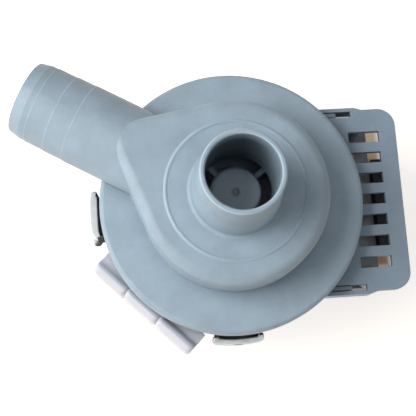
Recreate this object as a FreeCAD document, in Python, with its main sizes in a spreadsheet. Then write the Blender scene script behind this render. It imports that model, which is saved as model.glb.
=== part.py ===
"""Drain pump of a washing machine: round volute cover with an upright inlet and a side
outlet, an impeller on a wet magnet rotor, and the vented motor behind it.

Millimetres, +Z along the pump axis towards the inlet. The origin is on the axis, at the
flat back on which the pump stands. +X points from the axis to the vented end.
"""
import FreeCAD, Part
import math
import os
import re
import Sketcher
from FreeCAD import Vector

DIMENSIONS = {
    # heights of the motor, from its flat back up
    "back_thick": 2.5,
    "stack_base": 14.0,
    "stack_height": 22.0,
    "bracket_sheet": 1.6,
    "boss_length": 10.9,
    "plate_thick": 2.5,
    "collar_rise": 8.0,
    # volute cover
    "flange_thick": 3.0,
    "flange_radius": 51.0,
    "flange_round": 1.8,
    "skirt_depth": 8.0,
    "skirt_wall": 2.6,
    "volute_radius": 35.0,
    "volute_rise": 20.8,
    "volute_wall": 2.4,
    "volute_round": 3.8,
    "foot_round": 1.0,
    "ring_radius": 26.0,
    "ring_width": 0.8,
    "ring_rise": 0.3,
    # inlet spigot
    "inlet_rise": 50.8,
    "inlet_radius": 15.0,
    "inlet_wall": 1.9,
    "inlet_straight": 6.0,
    "inlet_root_radius": 17.0,
    "inlet_root_round": 1.5,
    "rim_chamfer": 0.5,
    # outlet spigot
    "outlet_angle": 150.0,
    "outlet_rise": 5.0,
    "outlet_reach": 88.0,
    "outlet_radius": 15.8,
    "outlet_wall": 2.6,
    "lead_in_length": 4.4,
    "lead_in_depth": 0.9,
    "first_ledge": 7.0,
    "ledge_pitch": 8.0,
    "ledge_step": 0.2,
    "tip_inset": 1.0,
    "tip_round": 8.0,
    # bayonet between cover and housing
    "hook_width_angle": 28.0,
    "hook_thick": 1.5,
    "hook_depth": 1.8,
    "hook_clearance": 0.4,
    "lug_thick": 2.0,
    "bayonet_gap": 0.3,
    "seal_inset": 3.2,
    "seal_cord": 2.6,
    # motor housing
    "collar_inset": 1.0,
    "recess_inset": 3.5,
    "web_thick": 3.0,
    "can_base": 4.0,
    "can_wall": 1.4,
    "can_bore": 14.3,
    "can_floor": 2.0,
    "socket_wall": 1.6,
    "socket_rise": 4.6,
    "plate_half_width": 37.8,
    "plate_reach": 69.2,
    "plate_corner": 7.0,
    "plate_step": 1.0,
    "step_start": 53.0,
    "step_end": 56.0,
    "vent_start": 49.8,
    "vent_length": 12.5,
    "vent_width": 4.4,
    "vent_pitch": 8.45,
    "side_slot_start": 36.0,
    "side_slot_end": 51.5,
    "side_slot_inner": 34.0,
    "side_slot_width": 2.3,
    "side_wall_gap": 0.2,
    "side_wall_start": 22.0,
    "side_wall_drop": 6.0,
    # rotor
    "shaft_radius": 2.0,
    "shaft_base": 7.3,
    "shaft_top": 71.5,
    "bearing_radius": 4.5,
    "bearing_length": 5.0,
    "bearing_clearance": 0.05,
    "seat_radius": 6.5,
    "seat_floor": 0.8,
    "seat_clearance": 0.1,
    "washer_radius": 4.2,
    "washer_thick": 0.5,
    "end_float": 0.3,
    "magnet_radius": 13.4,
    "magnet_bore": 5.0,
    "magnet_length": 26.0,
    "carrier_flange": 1.0,
    "carrier_flange_radius": 11.0,
    # bearing retainer
    "retainer_clearance": 0.1,
    "retainer_depth": 10.0,
    "retainer_wall": 2.0,
    "retainer_web": 3.5,
    "shaft_hole": 2.4,
    # impeller and its lost-motion drive
    "impeller_lift": 1.6,
    "hub_radius": 9.6,
    "hub_rise": 18.4,
    "hub_round": 1.2,
    "hub_chamber": 7.8,
    "chamber_height": 7.2,
    "blade_radius": 22.0,
    "blade_thick": 2.0,
    "blade_foot": 0.5,
    "blade_height": 12.5,
    "blade_angle": 38.0,
    "blade_count": 4,
    "hub_cover_thick": 1.5,
    "dog_hub": 3.9,
    "dog_reach": 7.3,
    "dog_gap": 0.4,
    "dog_width_angle": 40.0,
    "stop_width_angle": 60.0,
    "stop_inner": 4.3,
    "dog_rest_gap": 3.0,
    # stator
    "stator_bore": 15.9,
    "pole_reach": 19.0,
    "pole_half_width": 28.0,
    "pole_corner": 8.0,
    "pole_gap": 4.0,
    "leg_offset": 17.8,
    "leg_width": 14.0,
    "window_start": 19.5,
    "yoke_start": 46.5,
    "yoke_face": 60.2,
    "yoke_half_width": 34.0,
    # coils
    "bobbin_start": 20.5,
    "bobbin_end": 46.0,
    "bobbin_fit": 0.1,
    "bobbin_wall": 1.1,
    "bobbin_flange": 1.5,
    "flange_rise": 0.5,
    "coil_depth": 4.6,
    "coil_round": 3.0,
    "end_cover_depth": 7.8,
    "end_cover_half_width": 18.0,
    "end_cover_base": 12.0,
    "end_cover_top": 42.0,
    "end_cover_wall": 1.5,
    "end_cover_lip": 12.0,
    "end_cover_round": 1.5,
    # mounting bracket
    "bracket_clearance": 0.6,
    "bracket_bore": 16.2,
    "bracket_edge": 17.0,
    "tongue_half_width": 9.0,
    "back_lug_gap": 2.7,
    "side_lug_gap": 0.7,
    "lug_sheet": 2.0,
    "lug_rise": 10.0,
    "lug_angle": 22.0,
    "lug_return": 1.2,
    "lug_bend": 1.7,
    "lug_end_round": 0.9,
    "lug_hole_radius": 2.25,
    "lug_hole_rise": 5.5,
    # rear cover
    "case_radius": 42.0,
    "case_wall": 2.0,
    "case_clearance": 0.4,
    "yoke_clearance": 0.3,
    "notch_clearance": 0.5,
    "block_notch": 17.5,
    "snap_start": 38.0,
    "snap_end": 45.5,
    "snap_rise": 2.1,
    "snap_drop": 5.0,
    "snap_clearance": 0.35,
    "back_round": 1.5,
    "back_vent_length": 22.0,
    "back_vent_width": 3.0,
    "back_vent_pitch": 9.0,
    # screws through the stack
    "front_screw_x": -13.0,
    "front_screw_y": 22.5,
    "yoke_screw_x": 54.0,
    "yoke_screw_y": 30.8,
    "screw_radius": 2.0,
    "screw_head_radius": 3.6,
    "screw_head_height": 2.6,
    "screw_hole": 2.2,
    "screw_grip": 7.0,
    "thread_clearance": 0.02,
    "front_boss_radius": 4.5,
    "yoke_boss_radius": 3.3,
    "back_boss_radius": 4.5,
    # terminal block
    "block_angle": 225.0,
    "block_gap": 2.0,
    "block_depth": 10.3,
    "rib_rise": 1.5,
    "block_sink": 3.0,
    "block_left": -24.2,
    "block_right": 25.7,
    "first_notch": -8.4,
    "second_notch": 8.0,
    "block_notch_width": 2.2,
    "block_notch_depth": 1.6,
    "rib_width": 4.0,
    "rib_clearance": 0.2,
    "rib_round": 2.4,
    "block_corner": 1.6,
    "first_recess": 3.0,
    "third_recess": 4.8,
    "recess_length": 12.0,
    "bay_start": 3.6,
    "bay_depth": 5.0,
    "bay_height": 11.0,
    "bay_width": 11.0,
    "bay_pitch": 16.2,
    "tongue_slot_depth": 3.0,
    "lead_hole_radius": 1.3,
    # terminals and leads
    "tab_width": 6.3,
    "tab_thick": 0.8,
    "tab_drop": 9.0,
    "leg_wide": 1.8,
    "leg_stub": 1.0,
    "leg_drop": 2.0,
    "lead_radius": 1.0,
}

# sizes that follow from the ones above
DERIVED = {
    "neck_angle": "acos((volute_radius - tip_round) / (flange_radius - tip_inset - tip_round))",
    "disc_radius": "flange_radius - skirt_wall - hook_depth - hook_clearance",
    "collar_radius": "flange_radius - collar_inset",
    "seal_radius": "disc_radius - seal_inset",
    "recess_radius": "seal_radius - recess_inset",
    "coil_half_width": "leg_width / 2 + bobbin_fit + bobbin_wall + coil_depth + flange_rise",
    "case_inner": "leg_offset + coil_half_width + case_clearance",
    "case_half_width": "case_inner + case_wall",
    "case_reach": "yoke_start - yoke_clearance",
    "bracket_radius": "case_radius - case_wall - bracket_clearance",
    "back_lug_inner": "flange_radius + back_lug_gap",
    "side_lug_inner": "flange_radius + side_lug_gap",
    "block_inner": "case_radius + block_gap",
    "block_outer": "block_inner + block_depth",
    "bay_inner": "block_inner + bay_start",
    "block_base": "stack_base + stack_height - block_sink",
    "block_top": "stack_base + stack_height + bracket_sheet + boss_length + rib_rise",
    "leg_reach": "block_inner - leg_stub",
    "lead_height": "block_base + bay_height - leg_drop",
}

STACK_TOP = "(stack_base + stack_height)"
BRACKET_TOP = f"({STACK_TOP} + bracket_sheet)"
PLATE_UNDER = f"({BRACKET_TOP} + boss_length)"
PLATE_TOP = f"({PLATE_UNDER} + plate_thick)"
DISC_TOP = f"({PLATE_TOP} + collar_rise)"
FLANGE_TOP = f"({DISC_TOP} + flange_thick)"
SKIRT_FOOT = f"({FLANGE_TOP} - skirt_depth)"
OUTLET_LEVEL = f"({FLANGE_TOP} + outlet_rise)"
CAN_FLOOR = "(can_base + can_floor)"
REAR_BEARING = f"({CAN_FLOOR} + seat_floor)"
CARRIER_FOOT = f"({REAR_BEARING} + bearing_length + 2 * end_float + washer_thick)"
MAGNET_FOOT = f"({CARRIER_FOOT} + carrier_flange)"
RETAINER_FOOT = f"({DISC_TOP} - retainer_depth)"
FRONT_BEARING = f"({RETAINER_FOOT} - 1.5)"
CARRIER_TOP = f"({FRONT_BEARING} - 2 * end_float - washer_thick)"
IMPELLER_FOOT = f"({DISC_TOP} + impeller_lift)"
CHAMBER_TOP = f"({IMPELLER_FOOT} + chamber_height)"

doc = FreeCAD.newDocument("drain_pump")
size = doc.addObject("Spreadsheet::Sheet", "size")


def fill_sheet():
    """Write the driving dimensions on the sheet, then the formulas of those that follow."""
    formulas = {alias: f"={formula}" for alias, formula in DERIVED.items()}
    for row, (alias, value) in enumerate({**DIMENSIONS, **formulas}.items(), start=1):
        size.set(f"A{row}", alias)
        size.set(f"B{row}", str(value))
        size.setAlias(f"B{row}", alias)
    doc.recompute()


def bound(text):
    """Expression in which every dimension's name points to the sheet."""
    named = DIMENSIONS.keys() | DERIVED.keys()
    return re.sub(r"[a-z]\w*", lambda word: "size." + word[0] if word[0] in named else word[0], text)


def number(text):
    """Present value of an expression."""
    value = size.evalExpression(bound(text))
    return float(getattr(value, "Value", value))


def turned(along, across, angle):
    """Expressions of a point given along and across a direction in the base plane."""
    return (f"({along}) * cos({angle}) - ({across}) * sin({angle})",
            f"({along}) * sin({angle}) + ({across}) * cos({angle})")


def new_body(name):
    body = doc.addObject("PartDesign::Body", name)
    body.Label = name
    return body


def origin_part(body, role):
    return next(item for item in body.Origin.OriginFeatures if item.Role == role)


def new_sketch(body, name, role, lift="0", rise="0"):
    """Sketch on one of the body's origin planes, lifted off it and shifted up in it."""
    sketch = body.newObject("Sketcher::SketchObject", name)
    sketch.AttachmentSupport = [(origin_part(body, role), "")]
    sketch.MapMode = "FlatFace"
    if lift != "0":
        sketch.setExpression("AttachmentOffset.Base.z", bound(lift))
    if rise != "0":
        sketch.setExpression("AttachmentOffset.Base.y", bound(rise))
    return sketch


def constrain(sketch, kind, item, point, text):
    """Bind one coordinate of a sketch point to an expression."""
    index = sketch.addConstraint(Sketcher.Constraint(kind, -1, 1, item, point, number(text)))
    sketch.setExpression(f"Constraints[{index}]", bound(text))


def bind_radius(sketch, item, text):
    index = sketch.addConstraint(Sketcher.Constraint("Radius", item, number(text)))
    sketch.setExpression(f"Constraints[{index}]", bound(text))


def polygon(sketch, corners):
    """Closed outline through corners given as pairs of expressions."""
    points = [Vector(number(across), number(up), 0) for across, up in corners]
    first = sketch.GeometryCount
    for start, end in zip(points, points[1:] + points[:1]):
        sketch.addGeometry(Part.LineSegment(start, end))
    for place, (across, up) in enumerate(corners):
        following = first + (place + 1) % len(corners)
        sketch.addConstraint(Sketcher.Constraint("Coincident", first + place, 2, following, 1))
        constrain(sketch, "DistanceX", first + place, 1, across)
        constrain(sketch, "DistanceY", first + place, 1, up)


def rectangle(sketch, left, right, bottom, top):
    polygon(sketch, [(left, bottom), (right, bottom), (right, top), (left, top)])


def circle(sketch, across, up, radius):
    centre = Vector(number(across), number(up), 0)
    item = sketch.addGeometry(Part.Circle(centre, Vector(0, 0, 1), number(radius)))
    constrain(sketch, "DistanceX", item, 3, across)
    constrain(sketch, "DistanceY", item, 3, up)
    bind_radius(sketch, item, radius)


def revolve(body, name, corners, cut=False, role="XZ_Plane", axis="V_Axis", rise="0", angle=None):
    """Turn a profile about an axis of its sketch, whole or as a sector across the plane."""
    profile = new_sketch(body, name + "_profile", role, rise=rise)
    polygon(profile, corners)
    turn = body.newObject("PartDesign::Groove" if cut else "PartDesign::Revolution", name)
    turn.Profile = profile
    turn.ReferenceAxis = (profile, [axis])
    if angle:
        turn.Midplane = True
        turn.setExpression("Angle", bound(angle))
    else:
        turn.Angle = 360
    return turn


def extrude(body, name, sketch, length, cut=False, reverse=False):
    """Pad a sketch, or pocket it; a pocket cuts upwards from its sketch when reversed."""
    feature = body.newObject("PartDesign::Pocket" if cut else "PartDesign::Pad", name)
    feature.Profile = sketch
    feature.Reversed = reverse
    if length == "through":
        feature.Type = "ThroughAll"
        feature.Midplane = True
    else:
        feature.setExpression("Length", bound(length))
    return feature


def around(body, name, originals, count, angle="360"):
    pattern = body.newObject("PartDesign::PolarPattern", name)
    pattern.Originals = originals
    pattern.Axis = (origin_part(body, "Z_Axis"), [""])
    pattern.setExpression("Angle", bound(angle))
    pattern.setExpression("Occurrences", bound(count))
    body.Tip = pattern
    return pattern


def along_y(body, name, original, length, count):
    pattern = body.newObject("PartDesign::LinearPattern", name)
    pattern.Originals = [original]
    pattern.Direction = (origin_part(body, "Y_Axis"), [""])
    pattern.Reversed = True
    pattern.setExpression("Length", bound(length))
    pattern.Occurrences = count
    body.Tip = pattern
    return pattern


def soften(body, name, radius, wanted, kind="PartDesign::Fillet"):
    """Round or chamfer the edges of the body's present shape that a test picks out."""
    doc.recompute()
    base = body.Tip
    edges = [f"Edge{place}" for place, edge in enumerate(base.Shape.Edges, start=1) if wanted(edge)]
    if not edges:
        raise RuntimeError(f"{body.Label}: no edge for {name}")
    feature = body.newObject(kind, name)
    feature.Base = (base, edges)
    feature.setExpression("Radius" if kind.endswith("Fillet") else "Size", bound(radius))
    return feature


def is_ring(edge, radius, level):
    """True for a circular edge of a radius at a height."""
    curve = edge.Curve
    return (isinstance(curve, Part.Circle) and abs(curve.Radius - number(radius)) < 0.01
            and abs(curve.Center.z - number(level)) < 0.01)


def is_upright(edge, x_text, y_text):
    """True for an upright straight edge at a place."""
    ends = [vertex.Point for vertex in edge.Vertexes]
    return (len(ends) == 2 and abs(ends[0].z - ends[1].z) > 0.5
            and all(abs(end.x - number(x_text)) < 0.01 and abs(end.y - number(y_text)) < 0.01
                    for end in ends))


def turn_body(body, angle):
    body.Placement = FreeCAD.Placement(Vector(0, 0, 0), FreeCAD.Rotation(Vector(0, 0, 1), number(angle)))
    body.setExpression("Placement.Rotation.Angle", bound(angle))


def volute_cover():
    """Cover with its skirted flange, teardrop volute, inlet and outlet; the outlet lies on +X here."""
    body = new_body("volute_cover")
    top = f"({FLANGE_TOP} + volute_rise)"
    mouth = f"({FLANGE_TOP} + inlet_rise)"
    bore = "(inlet_radius - inlet_wall)"
    outside = [("0", SKIRT_FOOT), ("flange_radius", SKIRT_FOOT), ("flange_radius", FLANGE_TOP),
               ("ring_radius + 2 * ring_width", FLANGE_TOP), ("ring_radius + 2 * ring_width", top),
               ("ring_radius + ring_width", top), ("ring_radius + ring_width / 4", f"{top} + ring_rise"),
               ("ring_radius - ring_width / 4", f"{top} + ring_rise"), ("ring_radius - ring_width", top),
               ("inlet_root_radius", top), ("inlet_radius", f"{mouth} - inlet_straight"),
               ("inlet_radius", mouth), ("0", mouth)]
    revolve(body, "round_outside", outside)
    volute = new_sketch(body, "volute_outline", "XY_Plane", lift=f"{FLANGE_TOP} - flange_thick / 2")
    teardrop(volute, "volute_radius", "tip_round")
    extrude(body, "volute", volute, "volute_rise + flange_thick / 2")
    beyond_ring = number("ring_radius + 3 * ring_width")
    soften(body, "volute_edge", "volute_round", lambda edge: all(
        abs(vertex.Z - number(top)) < 0.01 and math.hypot(vertex.X, vertex.Y) > beyond_ring
        for vertex in edge.Vertexes))
    soften(body, "flange_edge", "flange_round", lambda edge: is_ring(edge, "flange_radius", FLANGE_TOP))
    soften(body, "inlet_root", "inlet_root_round", lambda edge: is_ring(edge, "inlet_root_radius", top))
    outlet_tube(body)
    inner = "(volute_radius - volute_wall)"
    inside = [("0", f"{SKIRT_FOOT} - 4"), ("collar_radius + 0.4", f"{SKIRT_FOOT} - 4"),
              ("collar_radius + 0.4", SKIRT_FOOT), ("flange_radius - skirt_wall", SKIRT_FOOT),
              ("flange_radius - skirt_wall", DISC_TOP), (inner, DISC_TOP), (inner, FLANGE_TOP),
              (bore, FLANGE_TOP), (bore, f"{mouth} + 1"), ("0", f"{mouth} + 1")]
    revolve(body, "round_inside", inside, cut=True)
    chamber = new_sketch(body, "chamber_outline", "XY_Plane", lift=FLANGE_TOP)
    teardrop(chamber, inner, "tip_round - volute_wall")
    extrude(body, "chamber", chamber, "volute_rise - volute_wall", cut=True, reverse=True)
    duct = new_sketch(body, "duct_section", "YZ_Plane", lift=f"{inner} - 3")
    arched_duct(duct)
    extrude(body, "duct", duct, f"flange_radius + 1 - {inner} + 3", cut=True, reverse=True)
    outlet_bore = [("flange_radius + 0.5", "0"), ("outlet_reach + 1", "0"),
                   ("outlet_reach + 1", "outlet_radius - outlet_wall"),
                   ("flange_radius + 0.5", "outlet_radius - outlet_wall")]
    revolve(body, "outlet_bore", outlet_bore, cut=True, axis="H_Axis", rise=OUTLET_LEVEL)
    hook_inner = "(flange_radius - skirt_wall - hook_depth)"
    hook = revolve(body, "hook", [(hook_inner, SKIRT_FOOT), ("flange_radius - 1", SKIRT_FOOT),
                                  ("flange_radius - 1", f"{SKIRT_FOOT} + hook_thick"),
                                  (hook_inner, f"{SKIRT_FOOT} + hook_thick")], angle="hook_width_angle")
    around(body, "hooks", [hook], "4")
    soften(body, "inlet_rim", "rim_chamfer",
           lambda edge: is_ring(edge, "inlet_radius", mouth) or is_ring(edge, bore, mouth),
           kind="PartDesign::Chamfer")
    turn_body(body, "outlet_angle")
    return body


def teardrop(sketch, radius, tip):
    """Round outline drawn out by two tangent walls to a rounded tip over the outlet."""
    reach, end, turn = number(radius), number(tip), math.radians(number("neck_angle"))
    tip_centre = f"(({radius}) - ({tip})) / cos(neck_angle)"
    away = Vector(math.cos(turn), math.sin(turn), 0)
    beside = Vector(away.x, -away.y, 0)
    centre = Vector(number(tip_centre), 0, 0)
    up = Vector(0, 0, 1)
    sketch.addGeometry(Part.ArcOfCircle(Part.Circle(Vector(), up, reach), turn, 2 * math.pi - turn))
    sketch.addGeometry(Part.LineSegment(beside * reach, centre + beside * end))
    sketch.addGeometry(Part.ArcOfCircle(Part.Circle(centre, up, end), -turn, turn))
    sketch.addGeometry(Part.LineSegment(centre + away * end, away * reach))
    for item in range(4):
        sketch.addConstraint(Sketcher.Constraint("Coincident", item, 2, (item + 1) % 4, 1))
    for item, middle, size_of_arc in ((0, "0", radius), (2, tip_centre, tip)):
        constrain(sketch, "DistanceX", item, 3, middle)
        constrain(sketch, "DistanceY", item, 3, "0")
        bind_radius(sketch, item, size_of_arc)
    constrain(sketch, "DistanceY", 0, 1, f"({radius}) * sin(neck_angle)")
    constrain(sketch, "DistanceY", 0, 2, f"-({radius}) * sin(neck_angle)")
    constrain(sketch, "DistanceY", 2, 1, f"-({tip}) * sin(neck_angle)")
    constrain(sketch, "DistanceY", 2, 2, f"({tip}) * sin(neck_angle)")


def arched_duct(sketch):
    """Section of the outlet's bore cut off level by the flange."""
    radius = "(outlet_radius - outlet_wall)"
    reach, rise = number(radius), number("outlet_rise")
    dip = math.asin(rise / reach)
    centre = Vector(0, number(OUTLET_LEVEL), 0)
    sketch.addGeometry(Part.ArcOfCircle(Part.Circle(centre, Vector(0, 0, 1), reach), -dip, math.pi + dip))
    half, floor = reach * math.cos(dip), number(FLANGE_TOP)
    sketch.addGeometry(Part.LineSegment(Vector(-half, floor, 0), Vector(half, floor, 0)))
    for item in range(2):
        sketch.addConstraint(Sketcher.Constraint("Coincident", item, 2, (item + 1) % 2, 1))
        constrain(sketch, "DistanceY", item, 1, FLANGE_TOP)
    bind_radius(sketch, 0, radius)
    constrain(sketch, "DistanceX", 0, 3, "0")
    constrain(sketch, "DistanceY", 0, 3, OUTLET_LEVEL)


def outlet_tube(body):
    """Outlet spigot: three shallow steps down to a tapered lead-in."""
    outline = [("volute_radius", "0"), ("volute_radius", "outlet_radius")]
    for place in (0, 1, 2):
        ledge = f"outlet_reach - first_ledge - {2 - place} * ledge_pitch"
        outline += [(ledge, f"outlet_radius - {place} * ledge_step"),
                    (f"{ledge} + ledge_step", f"outlet_radius - {place + 1} * ledge_step")]
    outline += [("outlet_reach - lead_in_length", "outlet_radius - 3 * ledge_step"),
                ("outlet_reach", "outlet_radius - 3 * ledge_step - lead_in_depth"), ("outlet_reach", "0")]
    return revolve(body, "outlet_tube", outline, axis="H_Axis", rise=OUTLET_LEVEL)


def cover_seal():
    """Round cord that fills the groove between housing and cover."""
    seal = doc.addObject("Part::Torus", "cover_seal")
    seal.Label = "cover_seal"
    seal.setExpression("Radius1", bound("seal_radius"))
    seal.setExpression("Radius2", bound("seal_cord / 2"))
    seal.setExpression("Placement.Base.z", bound(f"{DISC_TOP} - seal_cord / 2"))
    return seal


def motor_housing():
    """Front plate with the bayonet disc, the rotor can and the vented plate over the coils."""
    body = new_body("motor_housing")
    can_outer = "(can_bore + can_wall)"
    step = f"({SKIRT_FOOT} - 0.5)"
    revolve(body, "can_and_disc", [("0", "can_base"), (can_outer, "can_base"), (can_outer, PLATE_UNDER),
                                   ("collar_radius", PLATE_UNDER), ("collar_radius", step),
                                   ("disc_radius", step), ("disc_radius", DISC_TOP), ("0", DISC_TOP)])
    vented_plate(body)
    recess_top = f"({DISC_TOP} - web_thick)"
    revolve(body, "recess", [(can_outer, f"{PLATE_UNDER} - 1"), ("recess_radius", f"{PLATE_UNDER} - 1"),
                             ("recess_radius", recess_top), (can_outer, recess_top)], cut=True)
    revolve(body, "can_inside", [("0", CAN_FLOOR), ("can_bore", CAN_FLOOR), ("can_bore", f"{DISC_TOP} + 1"),
                                 ("0", f"{DISC_TOP} + 1")], cut=True)
    revolve(body, "seal_groove",
            [("seal_radius - seal_cord / 2 - 0.3", f"{DISC_TOP} - seal_cord"),
             ("seal_radius + seal_cord / 2 + 0.3", f"{DISC_TOP} - seal_cord"),
             ("seal_radius + seal_cord / 2 + 0.3", f"{DISC_TOP} + 1"),
             ("seal_radius - seal_cord / 2 - 0.3", f"{DISC_TOP} + 1")], cut=True)
    socket = "(seat_radius + seat_clearance)"
    revolve(body, "rear_socket", [(socket, f"{CAN_FLOOR} - 0.5"),
                                  (f"{socket} + socket_wall", f"{CAN_FLOOR} - 0.5"),
                                  (f"{socket} + socket_wall", f"{CAN_FLOOR} + socket_rise"),
                                  (socket, f"{CAN_FLOOR} + socket_rise")])
    lug_foot = f"({SKIRT_FOOT} + hook_thick + bayonet_gap)"
    lug_reach = "(flange_radius - skirt_wall - bayonet_gap)"
    lug_head = f"{lug_foot} + lug_thick"
    lug = revolve(body, "lug", [("disc_radius - 1", lug_foot), (lug_reach, lug_foot),
                                (lug_reach, lug_head), ("disc_radius - 1", lug_head)],
                  angle="hook_width_angle")
    around(body, "lugs", [lug], "4")
    bosses(body, "front", recess_top, BRACKET_TOP, "front_boss_radius")
    bosses(body, "yoke", PLATE_UNDER, STACK_TOP, "yoke_boss_radius")
    return body


def vented_plate(body):
    """Plate with seven slots over the yoke, one long slot at each side and low side walls."""
    outline = new_sketch(body, "plate_outline", "XY_Plane", lift=PLATE_UNDER)
    narrow = "(plate_half_width - plate_step)"
    half = [("step_start", "plate_half_width"), ("step_end", narrow), ("plate_reach", narrow)]
    far_side = [("bracket_edge", "plate_half_width")] + half
    near_side = [(along, f"-({across})") for along, across in reversed(far_side)]
    polygon(outline, far_side + near_side)
    extrude(body, "plate", outline, "plate_thick")
    soften(body, "plate_corners", "plate_corner",
           lambda edge: is_upright(edge, "plate_reach", narrow)
           or is_upright(edge, "plate_reach", f"-{narrow}"))
    slot = new_sketch(body, "vent_outline", "XY_Plane", lift=PLATE_TOP)
    first = "3 * vent_pitch"
    rectangle(slot, "vent_start", "vent_start + vent_length",
              f"{first} - vent_width / 2", f"{first} + vent_width / 2")
    vent = extrude(body, "vent", slot, "plate_thick", cut=True)
    along_y(body, "vents", vent, "6 * vent_pitch", 7)
    side = new_sketch(body, "side_slots_outline", "XY_Plane", lift=PLATE_TOP)
    outer = "(side_slot_inner + side_slot_width)"
    rectangle(side, "side_slot_start", "side_slot_end", "side_slot_inner", outer)
    rectangle(side, "side_slot_start", "side_slot_end", f"-{outer}", "-side_slot_inner")
    extrude(body, "side_slots", side, "plate_thick", cut=True)
    walls = new_sketch(body, "side_wall_outline", "XY_Plane", lift=f"{PLATE_UNDER} - side_wall_drop")
    near = f"({outer} + side_wall_gap)"
    rectangle(walls, "side_wall_start", "step_start", near, "plate_half_width")
    rectangle(walls, "side_wall_start", "step_start", "-plate_half_width", f"-{near}")
    extrude(body, "side_walls", walls, "side_wall_drop + plate_thick / 2")


def bosses(body, group, top, foot, radius):
    """Pair of screw bosses that hang from the housing, with their pilot holes."""
    outline = new_sketch(body, f"{group}_boss_outline", "XY_Plane", lift=foot)
    holes = new_sketch(body, f"{group}_pilot_outline", "XY_Plane", lift=foot)
    for side in ("", "-"):
        circle(outline, f"{group}_screw_x", f"{side}{group}_screw_y", radius)
        circle(holes, f"{group}_screw_x", f"{side}{group}_screw_y", "screw_radius + thread_clearance")
    extrude(body, f"{group}_bosses", outline, f"{top} - {foot} + 0.5")
    extrude(body, f"{group}_pilots", holes, "screw_grip + 1", cut=True, reverse=True)


def bearing_retainer():
    """Plug in the can's mouth that holds the front bearing."""
    body = new_body("bearing_retainer")
    outer = "(can_bore - retainer_clearance)"
    socket = "(seat_radius + seat_clearance)"
    web = f"({DISC_TOP} - retainer_web)"
    ceiling = f"({FRONT_BEARING} + bearing_length + seat_floor)"
    revolve(body, "plug", [("shaft_hole", DISC_TOP), ("shaft_hole", ceiling), (socket, ceiling),
                           (socket, FRONT_BEARING), (f"{socket} + socket_wall", FRONT_BEARING),
                           (f"{socket} + socket_wall", web), (f"{outer} - retainer_wall", web),
                           (f"{outer} - retainer_wall", RETAINER_FOOT), (outer, RETAINER_FOOT),
                           (outer, DISC_TOP)])
    return body


def bearing_set(name, foot, floor_below):
    """Bearing bush and the rubber cup that seats it."""
    bush = new_body(f"{name}_bearing")
    bore = "(shaft_radius + bearing_clearance)"
    top = f"({foot} + bearing_length)"
    revolve(bush, "bush", [(bore, foot), ("bearing_radius", foot), ("bearing_radius", top), (bore, top)])
    cup = new_body(f"{name}_bearing_seat")
    low, high = (f"({foot} - seat_floor)", top) if floor_below else (foot, f"({top} + seat_floor)")
    lip_low, lip_high = (low, foot) if floor_below else (top, high)
    revolve(cup, "cup", [("bearing_radius", low), ("seat_radius", low), ("seat_radius", high),
                         ("bearing_radius", high)])
    revolve(cup, "lip", [("shaft_hole + 0.6", lip_low), ("bearing_radius + 0.5", lip_low),
                         ("bearing_radius + 0.5", lip_high), ("shaft_hole + 0.6", lip_high)])
    return [bush, cup]


def rotor():
    """Shaft, magnet, the moulded carrier between them, and the loose washers."""
    shaft = new_body("rotor_shaft")
    revolve(shaft, "rod", [("0", "shaft_base"), ("shaft_radius", "shaft_base"), ("shaft_radius", "shaft_top"),
                           ("0", "shaft_top")])
    soften(shaft, "rod_ends", "0.4", lambda edge: isinstance(edge.Curve, Part.Circle),
           kind="PartDesign::Chamfer")
    carrier = new_body("magnet_carrier")
    magnet_top = f"({MAGNET_FOOT} + magnet_length)"
    revolve(carrier, "spool", [("shaft_radius", CARRIER_FOOT), ("carrier_flange_radius", CARRIER_FOOT),
                               ("carrier_flange_radius", MAGNET_FOOT), ("magnet_bore", MAGNET_FOOT),
                               ("magnet_bore", magnet_top), ("carrier_flange_radius", magnet_top),
                               ("carrier_flange_radius", f"{magnet_top} + carrier_flange"),
                               ("washer_radius", f"{magnet_top} + carrier_flange"),
                               ("washer_radius", CARRIER_TOP), ("shaft_radius", CARRIER_TOP)])
    magnet = new_body("rotor_magnet")
    revolve(magnet, "ring", [("magnet_bore", MAGNET_FOOT), ("magnet_radius", MAGNET_FOOT),
                             ("magnet_radius", magnet_top), ("magnet_bore", magnet_top)])
    soften(magnet, "ring_edges", "0.8", lambda edge: is_ring(edge, "magnet_radius", MAGNET_FOOT)
           or is_ring(edge, "magnet_radius", magnet_top), kind="PartDesign::Chamfer")
    washers = []
    for place, foot in enumerate((f"{CARRIER_FOOT} - washer_thick", CARRIER_TOP)):
        washers.append(tube(f"washer{place}", "shaft_radius", "washer_radius", foot, "washer_thick"))
    return [shaft, carrier, magnet, compound("thrust_washers", washers)]


def tube(name, bore, radius, foot, height):
    """Plain ring from two cylinders."""
    parts = []
    for part, reach in (("outside", radius), ("inside", bore)):
        cylinder = doc.addObject("Part::Cylinder", f"{name}_{part}")
        cylinder.setExpression("Radius", bound(reach))
        cylinder.setExpression("Height", bound(height))
        cylinder.setExpression("Placement.Base.z", bound(foot))
        parts.append(cylinder)
    ring = doc.addObject("Part::Cut", name)
    ring.Base, ring.Tool = parts
    return ring


def compound(name, members):
    group = doc.addObject("Part::Compound", name)
    group.Label = name
    group.Links = members
    return group


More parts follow.
